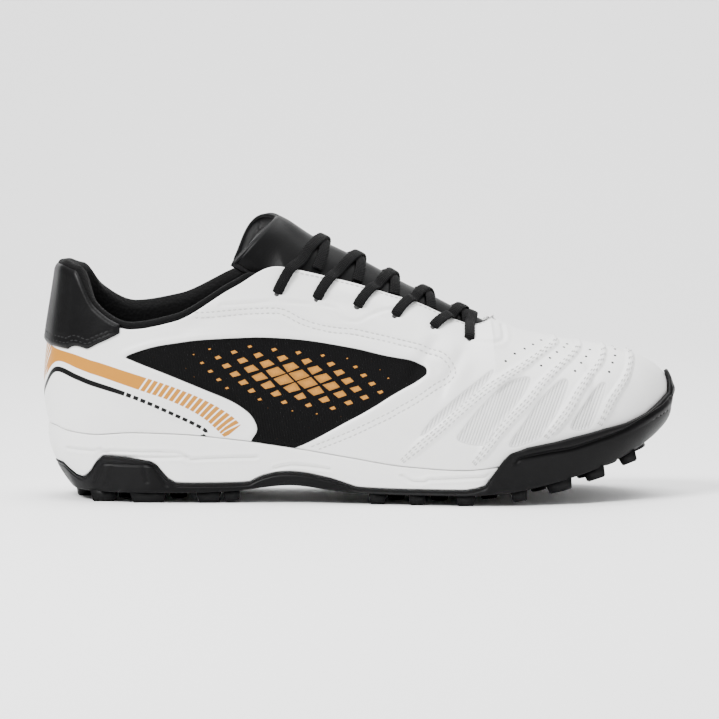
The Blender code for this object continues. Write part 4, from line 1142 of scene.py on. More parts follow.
# Pieces
def make_upper_piece(shoe):
    """The upper: leather outside, lining inside, with its relief and printed trim."""
    half = lateral_rows(shoe.stations)
    places = whole_ring(half)
    count = len(places)
    levels = shoe.levels
    alongs = np.linspace(0, 1, levels + 1)
    grid_place = np.broadcast_to(places, (levels + 1, count))
    grid_along = np.broadcast_to(alongs[:, None], (levels + 1, count))
    base = upper_point(grid_place, grid_along)
    normal = upper_normal(grid_place, grid_along)
    closed = gap_share(read("top_x", places)) < 0.001
    mirror = (count - np.arange(count)) % count
    ridge = unit(normal[-1] + normal[-1][mirror])
    normal[-1] = np.where(closed[:, None], ridge, normal[-1])
    u, v = side_view(base)
    relief = upper_relief(u, v)
    fade = ease(grid_along, 0.0, 0.03) * (1 - ease(grid_along, 0.985, 1.0) * ~closed)
    outer = base + normal * (relief * fade / 1000)[..., None]
    inner_alongs = np.linspace(0, 1, 13)
    inner_place = np.broadcast_to(places, (len(inner_alongs), count))
    inner_along = np.broadcast_to(inner_alongs[:, None], (len(inner_alongs), count))
    inner = upper_offset(inner_place, inner_along, -WALL)
    inner[-1] = np.where(closed[:, None], (inner[-1] + inner[-1][mirror]) / 2, inner[-1])
    outer[-1] = np.where(closed[:, None], (outer[-1] + outer[-1][mirror]) / 2, outer[-1])
    points = np.concatenate([outer.reshape(-1, 3), inner.reshape(-1, 3)])
    inner_start = outer.shape[0] * count
    outside = grid_faces(levels + 1, count, True)
    inside = grid_faces(len(inner_alongs), count, True, inner_start)[:, ::-1]
    low = np.arange(count)
    after = np.roll(low, -1)
    bottom = np.stack([low + inner_start, after + inner_start, after, low], axis=-1)
    top_out = levels * count + low
    top_in = inner_start + (len(inner_alongs) - 1) * count + low
    open_edge = ~(closed & closed[after])
    top = np.stack([top_out, top_out[after], top_in[after], top_in], axis=-1)[open_edge]
    faces = np.concatenate([outside, inside, bottom, top])
    same = np.arange(len(points))
    medial = closed & (np.arange(count) > len(half) - 1)
    same[top_out[medial]] = top_out[mirror[medial]]
    same[top_in[medial]] = top_in[mirror[medial]]
    faces = same[faces]
    faces_of = np.repeat([0.0, 1.0, 0.0], [len(outside), len(inside), len(bottom) + len(top)])
    layers = upper_layers(u.ravel(), v.ravel(), unrolled(u, base, places).ravel())
    attributes = {key: np.concatenate([values, np.full(inner.shape[0] * count, -50.0)])
                  for key, values in layers.items()}
    lining = cloth_material("lining", (0.016, 0.016, 0.017), 1.1)
    return mesh_object("upper_skin", points, [faces], [leather_material(shoe), lining], attributes, faces_of)


def unrolled(u, base, places):
    """The side view's across coordinate, carried on round the heel as length along the surface."""
    rows = np.minimum(places, RING - places)
    rolled = u.copy()
    for columns in (np.arange(len(places)), np.concatenate([[0], np.arange(len(places) - 1, 0, -1)])):
        spots = np.flatnonzero(rows[columns] < HEEL_ROW)
        near = columns[spots[spots == np.arange(len(spots))]]
        steps = np.linalg.norm(np.diff(base[:, near], axis=1), axis=-1) * 1000
        run = np.concatenate([np.zeros((len(base), 1)), np.cumsum(steps, axis=1)], axis=1)
        rolled[:, near] = u[:, near[-1:]] - (run[:, -1:] - run)
    return rolled


def upper_layers(u, v, trim_u):
    """Values the leather's material reads: distances inside its panels, in millimetres."""
    leaf = np.full(u.shape, -50.0)
    for path in LEAF_PATHS:
        leaf = np.maximum(leaf, outline_depth(u, v, path))
    _, band, along = path_distance(trim_u, v, GOLD_TOP)
    end = outline_depth(trim_u, v, np.concatenate([GOLD_TOP, GOLD_LOW[::-1]]))
    _, black, black_along = path_distance(trim_u, v, BLACK_PATH)
    total = run_along(BLACK_PATH)[-1]
    wide = 1.15 - 0.35 * ease(black_along, 40, 75) - 9.0 * ease(black_along, total - 0.2, total)
    return {
        "view_u": u, "view_v": v, "window": outline_depth(u, v, WINDOW_PATH), "leaf": leaf,
        "gold": end, "gold_along": along, "gold_across": band,
        "black": black, "black_wide": wide, "black_along": black_along,
    }


def make_heel_patch_piece(shoe):
    """Black overlay on the heel with thinned edges."""
    edge = np.array(PATCH_EDGE)
    last = edge[-1, 0]
    rows = np.linspace(-last, last, 121)
    levels = np.linspace(0, 1, 33)
    start = np.interp(np.abs(rows), edge[:, 0], edge[:, 1])
    places = np.broadcast_to(rows % RING, (len(levels), len(rows)))
    alongs = start + (0.985 - start) * levels[:, None]
    base = upper_point(places, alongs)
    normal = upper_normal(places, alongs)
    low_edge = (alongs - start) * 85.0
    side_edge = (last - np.abs(rows))[None, :] * 14.0 + 0 * alongs
    edge_mm = np.minimum(low_edge, side_edge)
    thick = 0.25 + 0.95 * ease(edge_mm, 0.0, 1.6)
    groove = trough(low_edge - 3.0, 0.55) + trough(low_edge - 5.6, 0.55)
    thick = thick - 0.18 * groove * ease(side_edge, 0, 4)
    outer = base + normal * (0.0003 + thick / 1000)[..., None]
    inner = base + normal * 0.0002
    top = upper_point(places[0], np.ones(len(rows)))
    upward = unit(top - upper_point(places[0], np.full(len(rows), 0.93)))
    out = upper_normal(places[0], np.full(len(rows), 0.97))
    over = [top + out * 0.0011 + upward * 0.0004, top + out * 0.0006 + upward * 0.0013,
            top - out * 0.0003 + upward * 0.0017, top - out * 0.0014 + upward * 0.0017]
    under = [top + out * 0.0002 + upward * 0.0001, top + out * 0.0001 + upward * 0.0002,
             top - out * 0.0003 + upward * 0.0003, top - out * 0.0014 + upward * 0.0003]
    outer = np.concatenate([outer, np.array(over)])
    inner = np.concatenate([inner, np.array(under)])
    levels = np.arange(len(outer))
    points = np.concatenate([outer.reshape(-1, 3), inner.reshape(-1, 3)])
    count = len(rows)
    total = outer.shape[0] * count
    front = grid_faces(len(levels), count, False)
    back = grid_faces(len(levels), count, False, total)[:, ::-1]
    index = np.arange(total).reshape(len(levels), count)
    rim = np.concatenate([index[0], index[1:, -1], index[-1, -2::-1], index[-2:0:-1, 0]])
    after = np.roll(rim, -1)
    sides = np.stack([rim, rim + total, after + total, after], axis=-1)
    piece = mesh_object("heel_patch_skin", points, [np.concatenate([front, back, sides])],
                        [satin_material("heel_leather", shoe.black, 0.38, 1500.0, 0.00018, 0.08)])
    return face_outward(piece)


def collar_ring(place):
    """Soft closed section of the padded collar at a place on the ring."""
    top = upper_point(place, 1.0)
    normal = upper_normal(place, 0.97)
    upward = unit(top - upper_point(place, 0.93))
    seat = WALL + SEAT_CLEAR
    alongs = np.linspace(1, 0.3, 71)
    run = np.linalg.norm(upper_point(np.full(71, place), alongs) - top, axis=-1)
    deep = float(np.interp(COLLAR_DEPTH, run, alongs))
    half = (1 + deep) / 2
    given = [
        upper_offset(place, half, -seat),
        top - normal * seat,
        top - normal * seat * 0.75 + upward * 0.0007,
        top - normal * 0.0004 + upward * 0.0009,
        top + normal * 0.0002 + upward * COLLAR_ROLL * 0.45,
        top - normal * COLLAR_PAD * 0.10 + upward * COLLAR_ROLL * 0.85,
        top - normal * COLLAR_PAD * 0.45 + upward * COLLAR_ROLL * 1.02,
        top - normal * COLLAR_PAD * 0.90 + upward * COLLAR_ROLL * 0.72,
        top - normal * (seat + COLLAR_PAD * 0.85),
        upper_offset(place, (1 + half) / 2, -(seat + COLLAR_PAD * 1.05)),
        upper_offset(place, half, -(seat + COLLAR_PAD)),
        upper_offset(place, (deep + half) / 2, -(seat + COLLAR_PAD * 0.75)),
        upper_offset(place, deep, -(seat + COLLAR_PAD * 0.25)),
        upper_offset(place, deep, -seat),
    ]
    return smooth_ring(np.array(given), 4)


def smooth_ring(given, parts):
    """Closed curve through the points, with even parts between each two."""
    before, start, end, after = (np.roll(given, turn, 0) for turn in (1, 0, -1, -2))
    made = [bend(before, start, end, after, t) for t in np.arange(parts) / parts]
    return np.stack(made, axis=1).reshape(-1, 3)


def tube_object(name, sections, materials, attributes=None):
    """Closed tube through sections, its ends drawn in to a point."""
    sections = np.asarray(sections, float)
    rows, columns = sections.shape[:2]
    caps = np.stack([sections[0].mean(axis=0), sections[-1].mean(axis=0)])
    points = np.concatenate([sections.reshape(-1, 3), caps])
    low = np.arange(columns)
    after = np.roll(low, -1)
    first = rows * columns
    far = (rows - 1) * columns
    ends = np.concatenate([
        np.stack([after, low, np.full(columns, first)], axis=-1),
        np.stack([low + far, after + far, np.full(columns, first + 1)], axis=-1),
    ])
    layers = {}
    for key, values in (attributes or {}).items():
        values = np.asarray(values, float)
        layers[key] = np.concatenate([values.ravel(), values[[0, -1]].mean(axis=1)])
    thing = mesh_object(name, points, [grid_faces(rows, columns, True), ends], materials, layers)
    return face_outward(thing)


def make_collar_piece(shoe):
    """Padded black lining rolled over the collar's edge."""
    rows = np.concatenate([-np.linspace(COLLAR_END_ROW, 0, 61)[:-1], np.linspace(0, COLLAR_END_ROW, 61)])
    sections = np.array([collar_ring(row % RING) for row in rows])
    ends = np.minimum(ease(np.arange(len(rows)), -1, 3), ease(len(rows) - 1 - np.arange(len(rows)), -1, 3))
    middle = sections.mean(axis=1, keepdims=True)
    sections = middle + (sections - middle) * (0.55 + 0.45 * ends)[:, None, None]
    material = cloth_material("collar_cloth", shoe.cloth_black, 1.25)
    piece = tube_object("collar_lining", sections, [material])
    return piece


def tongue_wing(place):
    """Points of the tongue under the upper on one side, from its edge to the throat's edge."""
    closed = 1 - float(gap_share(read("top_x", place)))
    depth = -(WALL + SEAT_CLEAR * (1.15 + 2 * closed))
    low = upper_offset(place, 1 - 1 / WALL_ROWS, depth)
    high = upper_offset(place, 1.0, depth)
    high = high + (low - high) * TONGUE_CLOSED_HALF * closed
    return [low, (low + high) / 2, high]


def tongue_line(row):
    """Points across the tongue's outer face in the throat, lateral edge first."""
    lateral = tongue_wing(row)
    medial = tongue_wing(RING - row)
    shape = np.array(TONGUE_SHAPE)
    share = float(gap_share(read("top_x", row)))
    crown = TONGUE_LIFT * float(np.interp(row, shape[:, 0], shape[:, 1])) * share ** 2
    slant = float(np.interp(row, shape[:, 0], shape[:, 2]))
    arch = []
    for across in (-0.66, -0.33, 0, 0.33, 0.66):
        rise = crown * (1 - abs(across) ** 2.2)
        level = lateral[-1] * (1 - across) / 2 + medial[-1] * (1 + across) / 2
        arch.append(level + np.array([slant * rise, 0, rise]))
    return lateral + arch + medial[::-1]


def flap_line(row):
    """Points across the tongue above the throat, from one row of its table."""
    ridge_x, ridge_z, edge_x, edge_z, half = row
    height = UPPER_RISE + SOLE_STACK
    points = []
    for turn in np.linspace(-90, 90, 11):
        fall = 1 - math.cos(math.radians(turn))
        x = to_x(ridge_x + (edge_x - ridge_x) * fall)
        z = (ridge_z + (edge_z - ridge_z) * fall) * height
        points.append(np.array([x, half * BALL_WIDTH * math.sin(math.radians(turn)), z]))
    return points


def finer(grid, parts_down, parts_across):
    """A smoother, finer grid through the points of a grid."""
    for axis, parts in ((0, parts_down), (1, parts_across)):
        moved = np.moveaxis(grid, axis, 0)
        padded = np.concatenate([2 * moved[:1] - moved[1:2], moved, 2 * moved[-1:] - moved[-2:-1]])
        stacked = np.stack([bend(padded[:-3], padded[1:-2], padded[2:-1], padded[3:], t)
                            for t in np.arange(parts) / parts], axis=1)
        stacked = stacked.reshape(-1, *stacked.shape[2:])
        grid = np.moveaxis(np.concatenate([stacked, moved[-1:]]), 0, axis)
    return grid


def tongue_outer():
    """Fine grid of the tongue's outer face."""
    lines = [tongue_line(row) for row in TONGUE_ROWS] + [flap_line(row) for row in FLAP]
    grid = finer(np.array(lines), 8, 8)
    run = np.linspace(0, 1, grid.shape[0])[:, None]
    across = np.linspace(-1, 1, grid.shape[1])[None, :]
    swell = ease(run, 0.86, 1.0) * np.sin(math.pi * np.clip(across, 0, 1)) ** 1.2
    return grid + swell[..., None] * np.array([-0.0050, 0, 0.0036])


def make_tongue_piece(shoe):
    """Padded satin tongue with a piped rim."""
    outer = tongue_outer()
    rows, columns = outer.shape[:2]
    along = np.gradient(outer, axis=0)
    across = np.gradient(outer, axis=1)
    inward = unit(np.cross(along, across))
    if inward[rows // 2, columns // 2, 2] > 0:
        inward = -inward
    place = np.abs(np.linspace(-1, 1, columns))
    pad = TONGUE_PAD + (TONGUE_EDGE - TONGUE_PAD) * place ** 2
    front = np.clip(np.linspace(0, 2.2, rows), 0.35, 1)
    run = np.linspace(0, 1, rows)
    tip = 1 - 0.35 * ease(run, 0.94, 1.0)
    thick = front[:, None] * pad[None, :] * tip[:, None]
    rounding = np.minimum(ease(np.arange(columns), -1.5, 5), ease(columns - 1 - np.arange(columns), -1.5, 5))
    close = 0.5 * thick * (1 - rounding)[None, :]
    face = outer + inward * close[..., None]
    back = outer + inward * (thick - close)[..., None]
    sections = np.concatenate([face, back[:, ::-1]], axis=1)
    leather = satin_material("tongue_cloth", shoe.black, 0.42, 1900.0, 0.0001, 0.04)
    body = tube_object("tongue_pad", sections, [leather])
    rim = piping(face, back, shoe)
    piece = joined("tongue_pad", [body, rim])
    return piece


def piping(face, back, shoe):
    """Bound rim round the tongue's curled top."""
    start = int(face.shape[0] * 0.80)
    middle = (face + back) / 2
    line = np.concatenate([middle[start:, 0], middle[-1, 1:-1], middle[start:, -1][::-1]])
    material = satin_material("rim_leather", times(shoe.black, 1.4), 0.42)
    return round_cord("rim", line, 0.0012, 10, [material])


def round_cord(name, line, radius, sides, materials):
    """Round cord along a line."""
    line = np.asarray(line, float)
    keep = [0]
    for i in range(1, len(line)):
        if np.linalg.norm(line[i] - line[keep[-1]]) > radius * 0.7:
            keep.append(i)
    line = line[keep]
    ahead = unit(np.gradient(line, axis=0))
    side = np.array([0.0, 0.0, 1.0])
    if abs(ahead[0, 2]) > 0.9:
        side = np.array([0.0, 1.0, 0.0])
    sections = []
    for point, direction in zip(line, ahead):
        side = unit(side - direction * np.dot(side, direction))
        other = np.cross(direction, side)
        turns = np.linspace(0, 2 * math.pi, sides, endpoint=False)
        sections.append(point + radius * (np.cos(turns)[:, None] * side + np.sin(turns)[:, None] * other))
    return tube_object(name, sections, materials)


def ring_mesh(name, rings, materials, attributes=None):
    """Closed body from rings, the first and the last filled across."""
    rings = np.asarray(rings, float)
    rows, columns = rings.shape[:2]
    points = rings.reshape(-1, 3)
    half = columns // 2
    i = np.arange(half)
    ladder = np.stack([i, i + 1, columns - i - 1, (columns - i) % columns], axis=-1)
    first = ladder[0, [0, 1, 2]]
    middle = ladder[1:-1]
    last = ladder[-1, [0, 1, 3]]
    base = (rows - 1) * columns
    triangles = np.stack([first, last, first[::-1] + base, last[::-1] + base])
    quads = np.concatenate([grid_faces(rows, columns, True), middle[:, ::-1], middle + base])
    thing = mesh_object(name, points, [quads, triangles], materials, attributes)
    return face_outward(thing)


def make_midsole_piece(shoe):
    """White foam with its moulded grooves."""
    places = even_places(shoe.stations)
    top = read("bite", places) - CLEAR
    floor = read("sheet", places) + RUBBER_SHEET
    rim = np.maximum(rubber_top(places), floor + CLEAR)
    low = floor + CLEAR
    neck = np.maximum(np.minimum(rim + CLEAR, top - 5 * CLEAR), low + CLEAR)
    hidden = np.full_like(top, RUBBER_WALL + SEAT_CLEAR)
    shown = MIDSOLE_STEP + (hidden - MIDSOLE_STEP) * covered(places)
    rings = [sole_side(places, low, hidden), sole_side(places, neck, hidden)]
    for step in np.linspace(0, 1, shoe.sole_levels):
        height = neck + CLEAR + (top - 0.0006 - neck - CLEAR) * step
        face = sole_side(places, height, shown)
        u, v = side_view(face)
        depth = np.zeros_like(u)
        for path in GROOVE_PATHS:
            near, _, _ = path_distance(u, v, path)
            depth += 1.05 * trough(near, 0.9) - 0.25 * trough(near - 1.6, 1.0)
        bulge = 0.35 * np.sin(math.pi * step)
        depth = (depth - bulge) * (1 - covered(places))
        rings.append(sole_side(places, height, shown + depth / 1000))
    rings.append(sole_side(places, top - 0.0001, shown + 0.0004))
    rings.append(sole_side(places, top, shown + 0.0010))
    return ring_mesh("midsole_foam", rings, [foam_material(shoe)])


def make_insole_piece():
    """Cloth-covered sock liner."""
    places = even_places(120)
    inset = WALL + 4 * CLEAR
    bottom = read("bite", places)
    rings = []
    for rise, more in ((0, 0.0004), (0.5, 0), (0.9, 0.0002), (1, 0.0010)):
        height = bottom + INSOLE_THICKNESS * rise
        edge = np.stack([read("x", places), read("y", places), height], axis=-1)
        rings.append(edge - outward(places) * (inset + more))
    return ring_mesh("insole_cloth_pad", rings, [cloth_material("insole_cloth", (0.03, 0.03, 0.032), 0.9)])


def rubber_relief(u, v, places, height):
    """How far the rubber's side stands out, in millimetres."""
    near, across, _ = path_distance(u, v, BUMPER_PATH)
    lip = ease(across, 0.3, 1.2) * (1 - ease(across, 4.0, 6.5)) * ease(u, 66, 74)
    relief = -1.2 * trough(near, 1.1) + 0.6 * lip
    for path in PANEL_GROOVES:
        relief -= 0.8 * trough(path_distance(u, v, np.array(path, float))[0], 0.8)
    upper_edge = (rubber_top(places) - height) * 1000
    relief -= 0.35 * trough(upper_edge - 1.3, 0.5) * (1 - ease(length_share(places), 0.70, 0.72))
    return relief


def make_outsole_piece(shoe):
    """Black rubber tray with its heel panels, toe bumper and studs."""
    places = even_places(shoe.stations)
    sheet = read("sheet", places)
    floor = sheet + RUBBER_SHEET
    rim = np.maximum(rubber_top(places), floor + CLEAR)
    bite = read("bite", places)
    bevel = 0.0004
    rings = [sole_side(places, sheet, np.full_like(sheet, bevel * 1.6)),
             sole_side(places, sheet + 0.00012, np.full_like(sheet, bevel * 0.6))]
    for step in np.linspace(0, 1, shoe.sole_levels):
        height = sheet + bevel + (rim - 0.0003 - sheet - bevel) * step
        face = sole_side(places, height, np.zeros_like(sheet))
        u, v = side_view(face)
        relief = rubber_relief(u, v, places, height) * ease(step, 0, 0.12) * (1 - ease(step, 0.94, 1.0))
        rings.append(sole_side(places, height, -np.maximum(relief, -1.2) / 1000))
    rings.append(sole_side(places, rim - 0.0001, np.full_like(sheet, 0.00025)))
    rings.append(sole_side(places, rim, np.full_like(sheet, 0.0006)))
    rings.append(sole_side(places, rim, np.full_like(sheet, RUBBER_WALL)))
    knee = np.where(rim > bite, bite, (floor + rim) / 2)
    for height in ((knee + rim) / 2, knee, (knee + floor) / 2, floor):
        rings.append(sole_side(places, height, np.full_like(sheet, RUBBER_WALL)))
    rubber = rubber_material(shoe)
    body = ring_mesh("outsole_rubber", rings, [rubber])
    return joined("outsole_rubber", [body] + stud_blocks(rubber))


def stud_spots():
    """Places and sizes of the studs: matrix, corners, height."""
    spots = []
    given = [(share, across, length * BALL_WIDTH, EDGE_STUD_WIDTH, 4)
             for share, length in EDGE_STUDS for across in (0, 1)]
    given += [(share, across, INNER_STUD_SIZE, INNER_STUD_SIZE, 6) for share, across in INNER_STUDS]
    for share, across, length, width, corners in given:
        row = place_where("x", to_x(share), 0, LAST_ROW)
        here = np.array([row, RING - row])
        ends = sole_side(here, read("sheet", here), np.full(2, 0.0004))
        margin = STUD_INSET / np.linalg.norm(ends[1] - ends[0])
        middle = Vector(ends[0]).lerp(Vector(ends[1]), margin + (1 - 2 * margin) * across)
        top = float(read("sheet", row)) + 0.0006
        slope = math.atan2(float(read("sheet", row + 0.3) - read("sheet", row - 0.3)),
                           float(read("x", row + 0.3) - read("x", row - 0.3)))
        bottom = max(abs(math.sin(slope)) * length / 2, float(read("sheet", row)) - STUD_HEIGHT)
        middle.z = (top + bottom) / 2
        swing = Vector(ends[0] - ends[1]).to_2d()
        turn = Matrix.Rotation(math.atan2(swing.x, -swing.y) * 0.5, 4, 'Z')
        place = Matrix.Translation(middle) @ Matrix.Rotation(-slope, 4, 'Y') @ turn
        spots.append((place, length, width, corners, top - bottom))
    return spots


def stud_blocks(rubber):
    """Tapered studs with rounded ends."""
    blocks = []
    for place, length, width, corners, depth in stud_spots():
        shape = bmesh.new()
        start = Matrix.Rotation(math.pi / corners, 4, 'Z')
        reach = 1 / math.cos(math.pi / corners)
        bmesh.ops.create_cone(
            shape, cap_ends=True, segments=corners, radius1=reach * STUD_TAPER, radius2=reach, depth=depth,
            matrix=place @ Matrix.Diagonal((length / 2, width / 2, 1, 1)) @ start)
        bmesh.ops.bevel(shape, geom=list(shape.edges), offset=0.0004, segments=2, affect='EDGES')
        mesh = bpy.data.meshes.new("stud")
        shape.to_mesh(mesh)
        shape.free()
        mesh.materials.append(rubber)
        mesh.shade_smooth()
        block = bpy.data.objects.new("stud", mesh)
        bpy.context.scene.collection.objects.link(block)
        blocks.append(block)
    return blocks


# Laces
def throat_row(share):
    """Row of the throat at a share of the length."""
    return place_where("top_x", to_x(share), 6.5, 12)


def tongue_grid():
    """The tongue's outer face as a fine grid with its normals."""
    grid = tongue_outer()
    normal = unit(np.cross(np.gradient(grid, axis=0), np.gradient(grid, axis=1)))
    if normal[grid.shape[0] // 2, grid.shape[1] // 2, 2] < 0:
        normal = -normal
    return grid, normal


TONGUE_TABLE = {}


def tongue_spot(row, across):
    """Point and normal of the tongue's face at a row and a share across from -1 to 1."""
    if not TONGUE_TABLE:
        TONGUE_TABLE["grid"], TONGUE_TABLE["normal"] = tongue_grid()
    grid = TONGUE_TABLE["grid"]
    down = np.interp(row, TONGUE_ROWS[::-1], np.arange(len(TONGUE_ROWS))[::-1]) * 8
    shares = np.array([-1, -0.66, -0.33, 0, 0.33, 0.66, 1])
    over = 16 + np.interp(across, shares, np.arange(7)) * 8
    i = int(np.clip(down, 0, grid.shape[0] - 2))
    j = int(np.clip(over, 0, grid.shape[1] - 2))
    a = down - i
    b = over - j
    found = []
    for values in (grid, TONGUE_TABLE["normal"]):
        found.append(values[i, j] * (1 - a) * (1 - b) + values[i + 1, j] * a * (1 - b)
                     + values[i, j + 1] * (1 - a) * b + values[i + 1, j + 1] * a * b)
    return found[0], unit(found[1])


def strap_path(start_share, end_share, side, lift):
    """Spots of a lace: out of an eyelet, over the edge and the tongue, in under the far edge."""
    place, along = eyelet_place(start_share, side)
    spots = [(upper_offset(place, along, -STRAP_SUNK), upper_normal(place, along))]
    for share, up in STRAP_ON_LEATHER:
        row = throat_row(start_share + LACE_LEAN * share)
        ring_place = on_side(row, side)
        at = along + (1 - along) * share
        spots.append((upper_offset(ring_place, at, up + lift * share * 0.5), upper_normal(ring_place, at)))
    reach = (end_share - start_share) * 0.97 - LACE_LEAN
    for step in np.linspace(-0.80, 0.86, 9):
        row = throat_row(start_share + LACE_LEAN + reach * (1 + step) / 2)
        row = max(row, TONGUE_ROWS[-1] + 0.05)
        point, normal = tongue_spot(row, -side * step)
        crest = STRAP_ON_TONGUE + lift * (1 - abs(step)) + STRAP_CROWN * (1 - step * step)
        spots.append((point + normal * crest, normal))
    return spots


def woven_strap(name, spots, count, material):
    """Flat woven lace through its spots."""
    points = np.array([spot[0] for spot in spots])
    normals = np.array([spot[1] for spot in spots])
    chord = run_along(points)
    fine = smooth_path(points, 0.0008)
    run = run_along(fine)
    even = np.linspace(0, run[-1], count)
    line = np.stack([np.interp(even, run, fine[:, k]) for k in range(3)], axis=-1)
    up = unit(np.stack([np.interp(even / run[-1], chord / chord[-1], normals[:, k]) for k in range(3)],
                       axis=-1))
    ahead = unit(np.gradient(line, axis=0))
    level = unit(np.cross(ahead, up))
    up = np.cross(level, ahead)
    turns = np.linspace(0, 2 * math.pi, 20, endpoint=False)
    wide = np.sign(np.cos(turns)) * np.abs(np.cos(turns)) ** 0.65 * LACE_WIDTH / 2
    thick = np.sign(np.sin(turns)) * np.abs(np.sin(turns)) ** 0.75 * LACE_THICKNESS / 2
    weave = WEAVE_DEPTH * np.sin(even * 1000 * WEAVE_PER_MM)[:, None]
    sections = (line[:, None] + level[:, None] * (wide * (1 + weave))[..., None]
                + up[:, None] * (thick * (1 + weave))[..., None])
    across = np.broadcast_to(wide / LACE_WIDTH + 0.5, sections.shape[:2])
    along = np.broadcast_to((even * 1000)[:, None], sections.shape[:2])
    return tube_object(name, sections, [material], {"lace_along": along, "lace_across": across})


def bar_path():
    """Spots of the straight bar nearest the toe."""
    last = EYELETS[-1]
    ends = []
    for side in (LATERAL, MEDIAL):
        place, along = eyelet_place(last, side)
        ends.append([(upper_offset(place, along, -BAR_SUNK), upper_normal(place, along))])
        for share in (0.12, 0.45, 0.8, 1.0):
            at = along + (1 - along) * share
            ends[-1].append((upper_offset(place, at, BAR_ON_LEATHER), upper_normal(place, at)))
    row = throat_row(last)
    middle = []
    for step in (-0.6, -0.2, 0.2, 0.6):
        point, normal = tongue_spot(row, step)
        middle.append((point + normal * BAR_ON_TONGUE, normal))
    return ends[0] + middle + ends[1][::-1]


def make_lace_piece(shoe):
    """The lace: five crossings and the bar."""
    material = lace_material(shoe)
    straps = []
    for upper_share, lower_share in zip(EYELETS, EYELETS[1:]):
        for side, lift in ((MEDIAL, 0.0), (LATERAL, CROSSING_LIFT)):
            spots = strap_path(upper_share, lower_share, side, lift)
            straps.append(woven_strap("strap", spots, STRAP_SECTIONS, material))
    straps.append(woven_strap("bar", bar_path(), BAR_SECTIONS, material))
    return joined("lace_weave", straps)


# Stitches and punched holes
def side_spots(points, side):
    """Ring places and curve shares of the upper's points at places on the side view."""
    targets = np.asarray(points, float)
    rows, alongs = np.meshgrid(np.linspace(0.2, 17.9, 240), np.linspace(0.01, 0.995, 120))
    places = on_side(rows, side)
    u, v = side_view(upper_point(places, alongs))
    row = np.empty(len(targets))
    along = np.empty(len(targets))
    for i, (goal_u, goal_v) in enumerate(targets):
        nearest = np.argmin((u - goal_u) ** 2 + (v - goal_v) ** 2)
        row[i] = rows.flat[nearest]
        along[i] = alongs.flat[nearest]
    step = 0.004
    for _ in range(8):
        def seen(r, a):
            return np.stack(side_view(upper_point(on_side(r, side), a)), axis=-1)
        here = seen(row, along)
        by_row = (seen(row + step, along) - here) / step
        by_along = (seen(row, np.minimum(along + step, 1.0)) - here) / step
        error = targets - here
        size = by_row[:, 0] * by_along[:, 1] - by_row[:, 1] * by_along[:, 0]
        size = np.where(np.abs(size) < 1e-6, 1e-6, size)
        move_row = (error[:, 0] * by_along[:, 1] - error[:, 1] * by_along[:, 0]) / size
        move_along = (by_row[:, 0] * error[:, 1] - by_row[:, 1] * error[:, 0]) / size
        row = np.clip(row + np.clip(move_row, -0.15, 0.15), 0.05, 17.95)
        along = np.clip(along + np.clip(move_along, -0.02, 0.02), 0.01, 0.995)
    return on_side(row, side), along


def shifted(path, offset):
    """A path moved sideways in the side view."""
    path = np.asarray(path, float)
    direction = unit(np.gradient(path, axis=0))
    return path + np.stack([-direction[:, 1], direction[:, 0]], axis=-1) * offset


def even_points(path, pitch, start=0.5):
    """Points along a path at an even pitch, with the direction at each."""
    path = np.asarray(path, float)
    run = run_along(path)
    count = int(run[-1] / pitch)
    at = (np.arange(count) + start) * run[-1] / max(count, 1)
    return np.stack([np.interp(at, run, path[:, k]) for k in range(path.shape[1])], axis=-1)


def on_upper(points, side, rise=0.0):
    """Points, tangents and normals on the dressed upper along a row of side-view points."""
    places, alongs = side_spots(points, side)
    base = upper_point(places, alongs)
    normal = upper_normal(places, alongs)
    relief = upper_relief(np.asarray(points)[:, 0], np.asarray(points)[:, 1])
    spots = base + normal * ((relief + rise) / 1000)[:, None]
    tangent = unit(np.gradient(spots, axis=0))
    return spots, tangent, normal


def stitch_rows():
    """Side-view rows of the white stitches."""
    rows = [(QUARTER_PATH, QUARTER_PITCH_MM), (shifted(QUARTER_PATH, -QUARTER_GAP), QUARTER_PITCH_MM)]
    for path in RIB_PATHS:
        run = run_along(path)
        total = run[-1]
        half = (0.55 + 0.45 * ease(run, 4, 40)) * (1 - 0.35 * ease(run, total - 12, total))
        for row in RIB_ROWS:
            direction = unit(np.gradient(path, axis=0))
            moved = path + np.stack([-direction[:, 1], direction[:, 0]], axis=-1) * (row * half)[:, None]
            rows.append((moved[run > 2.0], RIB_PITCH_MM))
    return rows


def set_modifier(thing, tree, values):
    """Geometry nodes on an object, its inputs set by their identifiers."""
    step = thing.modifiers.new(tree.name, 'NODES')
    step.node_group = tree
    for item in tree.interface.items_tree:
        if item.item_type == 'SOCKET' and item.in_out == 'INPUT' and item.name in values:
            step[item.identifier] = values[item.name]
    return step


